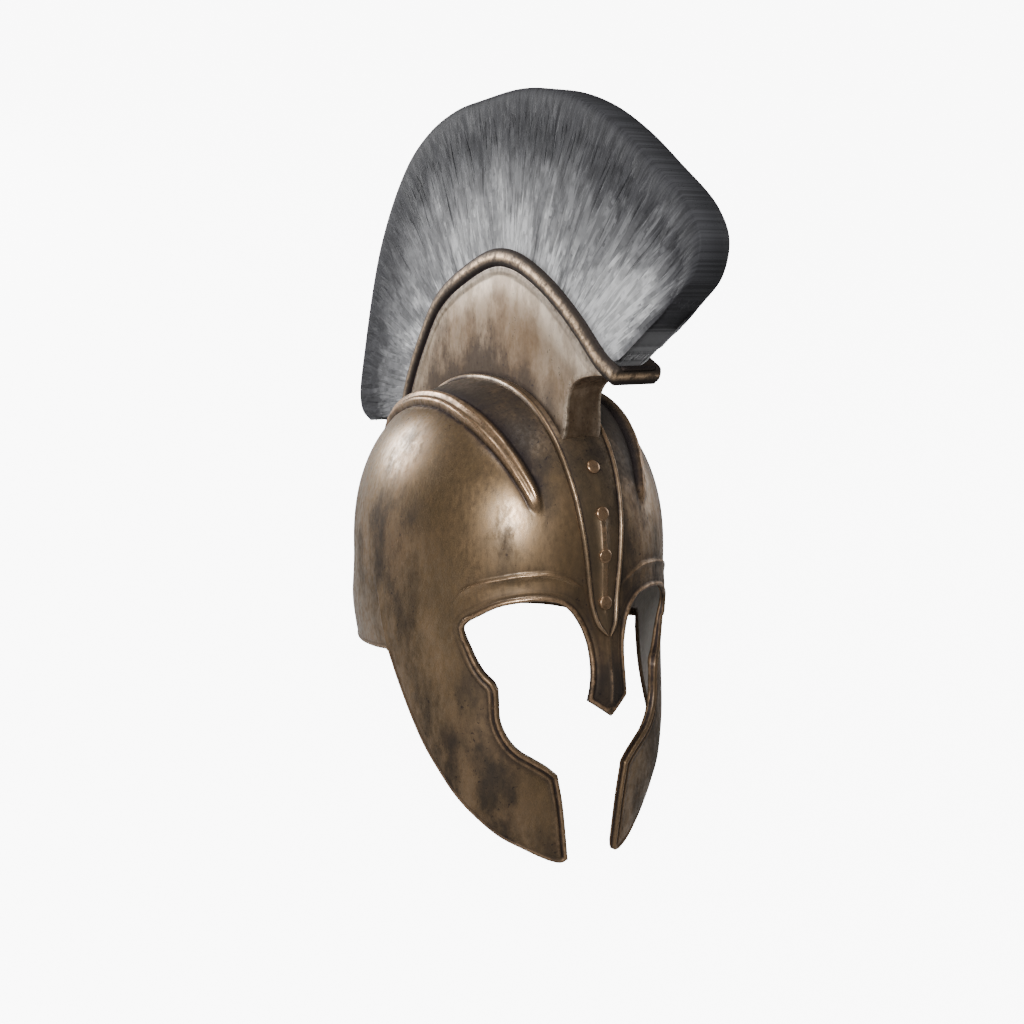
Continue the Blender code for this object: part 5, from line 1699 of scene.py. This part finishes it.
@dataclass
class Studio:
    """The pale floor, the soft lights and the camera at the photograph's angle."""

    camera_place: tuple = (-0.51618751, -0.86603211, 0.18141301)
    azimuth: float = math.radians(-31.0)
    elevation: float = math.radians(8.845)
    focal_mm: float = 50.0
    floor_half: float = 6.0
    world_light: float = 0.10
    floor_glow: float = 9.0

    def camera(self) -> None:
        """Stand the camera where it sees the upright helmet, laid down with it."""
        a, e = self.azimuth, self.elevation
        right = Vector((math.cos(a), math.sin(a), 0.0))
        back = Vector((math.sin(a) * math.cos(e), -math.cos(a) * math.cos(e), math.sin(e)))
        up = back.cross(right)
        turn = Matrix((right, up, back)).transposed().to_4x4()
        data = bpy.data.cameras.new("view")
        data.lens = self.focal_mm
        data.sensor_width = 36.0
        item = bpy.data.objects.new("view", data)
        bpy.context.scene.collection.objects.link(item)
        item.matrix_world = RESTING.matrix() @ Matrix.Translation(self.camera_place) @ turn
        bpy.context.scene.camera = item

    def floor(self) -> None:
        """Lay the pale floor."""
        Bench.deselect()
        bpy.ops.mesh.primitive_plane_add(size=2 * self.floor_half, location=(0.0, 0.0, 0.0))
        item = bpy.context.object
        item.name = "studio_floor"
        material, shader, w = new_material("pale_floor")
        shader.inputs["Base Color"].default_value = (0.42, 0.42, 0.42, 1.0)
        shader.inputs["Roughness"].default_value = 0.9
        shader.inputs["Specular IOR Level"].default_value = 0.1
        shader.inputs["Emission Color"].default_value = (1.0, 1.0, 1.0, 1.0)
        seen = w.node("ShaderNodeLightPath").outputs["Is Camera Ray"]
        w.put(shader.inputs["Emission Strength"], w.times(seen, self.floor_glow))
        item.data.materials.append(material)

    def lamp(self, row: tuple) -> None:
        """Hang one soft square light and aim it, laid down with the helmet."""
        data = bpy.data.lights.new(row.name, "AREA")
        data.size = row.size
        data.energy = row.power
        item = bpy.data.objects.new(row.name, data)
        bpy.context.scene.collection.objects.link(item)
        item.visible_camera = False
        start = RESTING.matrix() @ Vector(row.place)
        way = RESTING.matrix() @ Vector(row.aim) - start
        item.matrix_world = Matrix.Translation(start) @ way.to_track_quat("-Z", "Y").to_matrix().to_4x4()

    def build(self) -> None:
        """Set the whole studio up."""
        world = bpy.data.worlds.new("studio_air")
        bpy.context.scene.world = world
        world.use_nodes = True
        air = world.node_tree.nodes["Background"]
        air.inputs["Color"].default_value = (1.0, 1.0, 1.0, 1.0)
        air.inputs["Strength"].default_value = self.world_light
        self.floor()
        for row in LAMPS:
            self.lamp(row)
        self.camera()


def main() -> None:
    """Build every piece in order, then the studio."""
    logging.basicConfig(level=logging.INFO, format="%(message)s")
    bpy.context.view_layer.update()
    shared_bronze_and_light = make_bronze_and_painted_light_group()
    shell_bronze = BronzeFinish("shell_bronze", has_lining=True).make(shared_bronze_and_light)
    plate_bronze = BronzeFinish(
        "plate_bronze", darkness=0.60, size=1.3, tan=colour(134, 114, 88)).make(shared_bronze_and_light)
    # The box's and the tray's nearly white bare metal colours are also their painted highlights
    box_bronze = BronzeFinish(
        "box_bronze", darkness=0.55, stretch=0.65, tan=colour(138, 110, 80), umber=colour(84, 70, 57),
        copper_and_highlight=colour(252, 232, 208), coat=0.4).make(shared_bronze_and_light)
    tray_bronze = BronzeFinish(
        "tray_bronze", darkness=0.70, size=1.3, stretch=1.0, tan=colour(98, 75, 52),
        copper_and_highlight=colour(240, 206, 168), coat=0.25).make(shared_bronze_and_light)
    rivet_bronze = BronzeFinish(
        "rivet_bronze", darkness=0.4, size=1.6, tan=colour(138, 108, 80)).make(shared_bronze_and_light)
    hair = HairFinish().make()
    HelmetShell().build(shell_bronze)
    plate = CentrePlate()
    plate.build(plate_bronze)
    Rivets().build(rivet_bronze, plate)
    crest = Crest()
    crest.box(box_bronze, plate)
    crest.tray(tray_bronze)
    Plume().build(crest, hair)
    Studio().build()


if __name__ == "__main__":
    main()
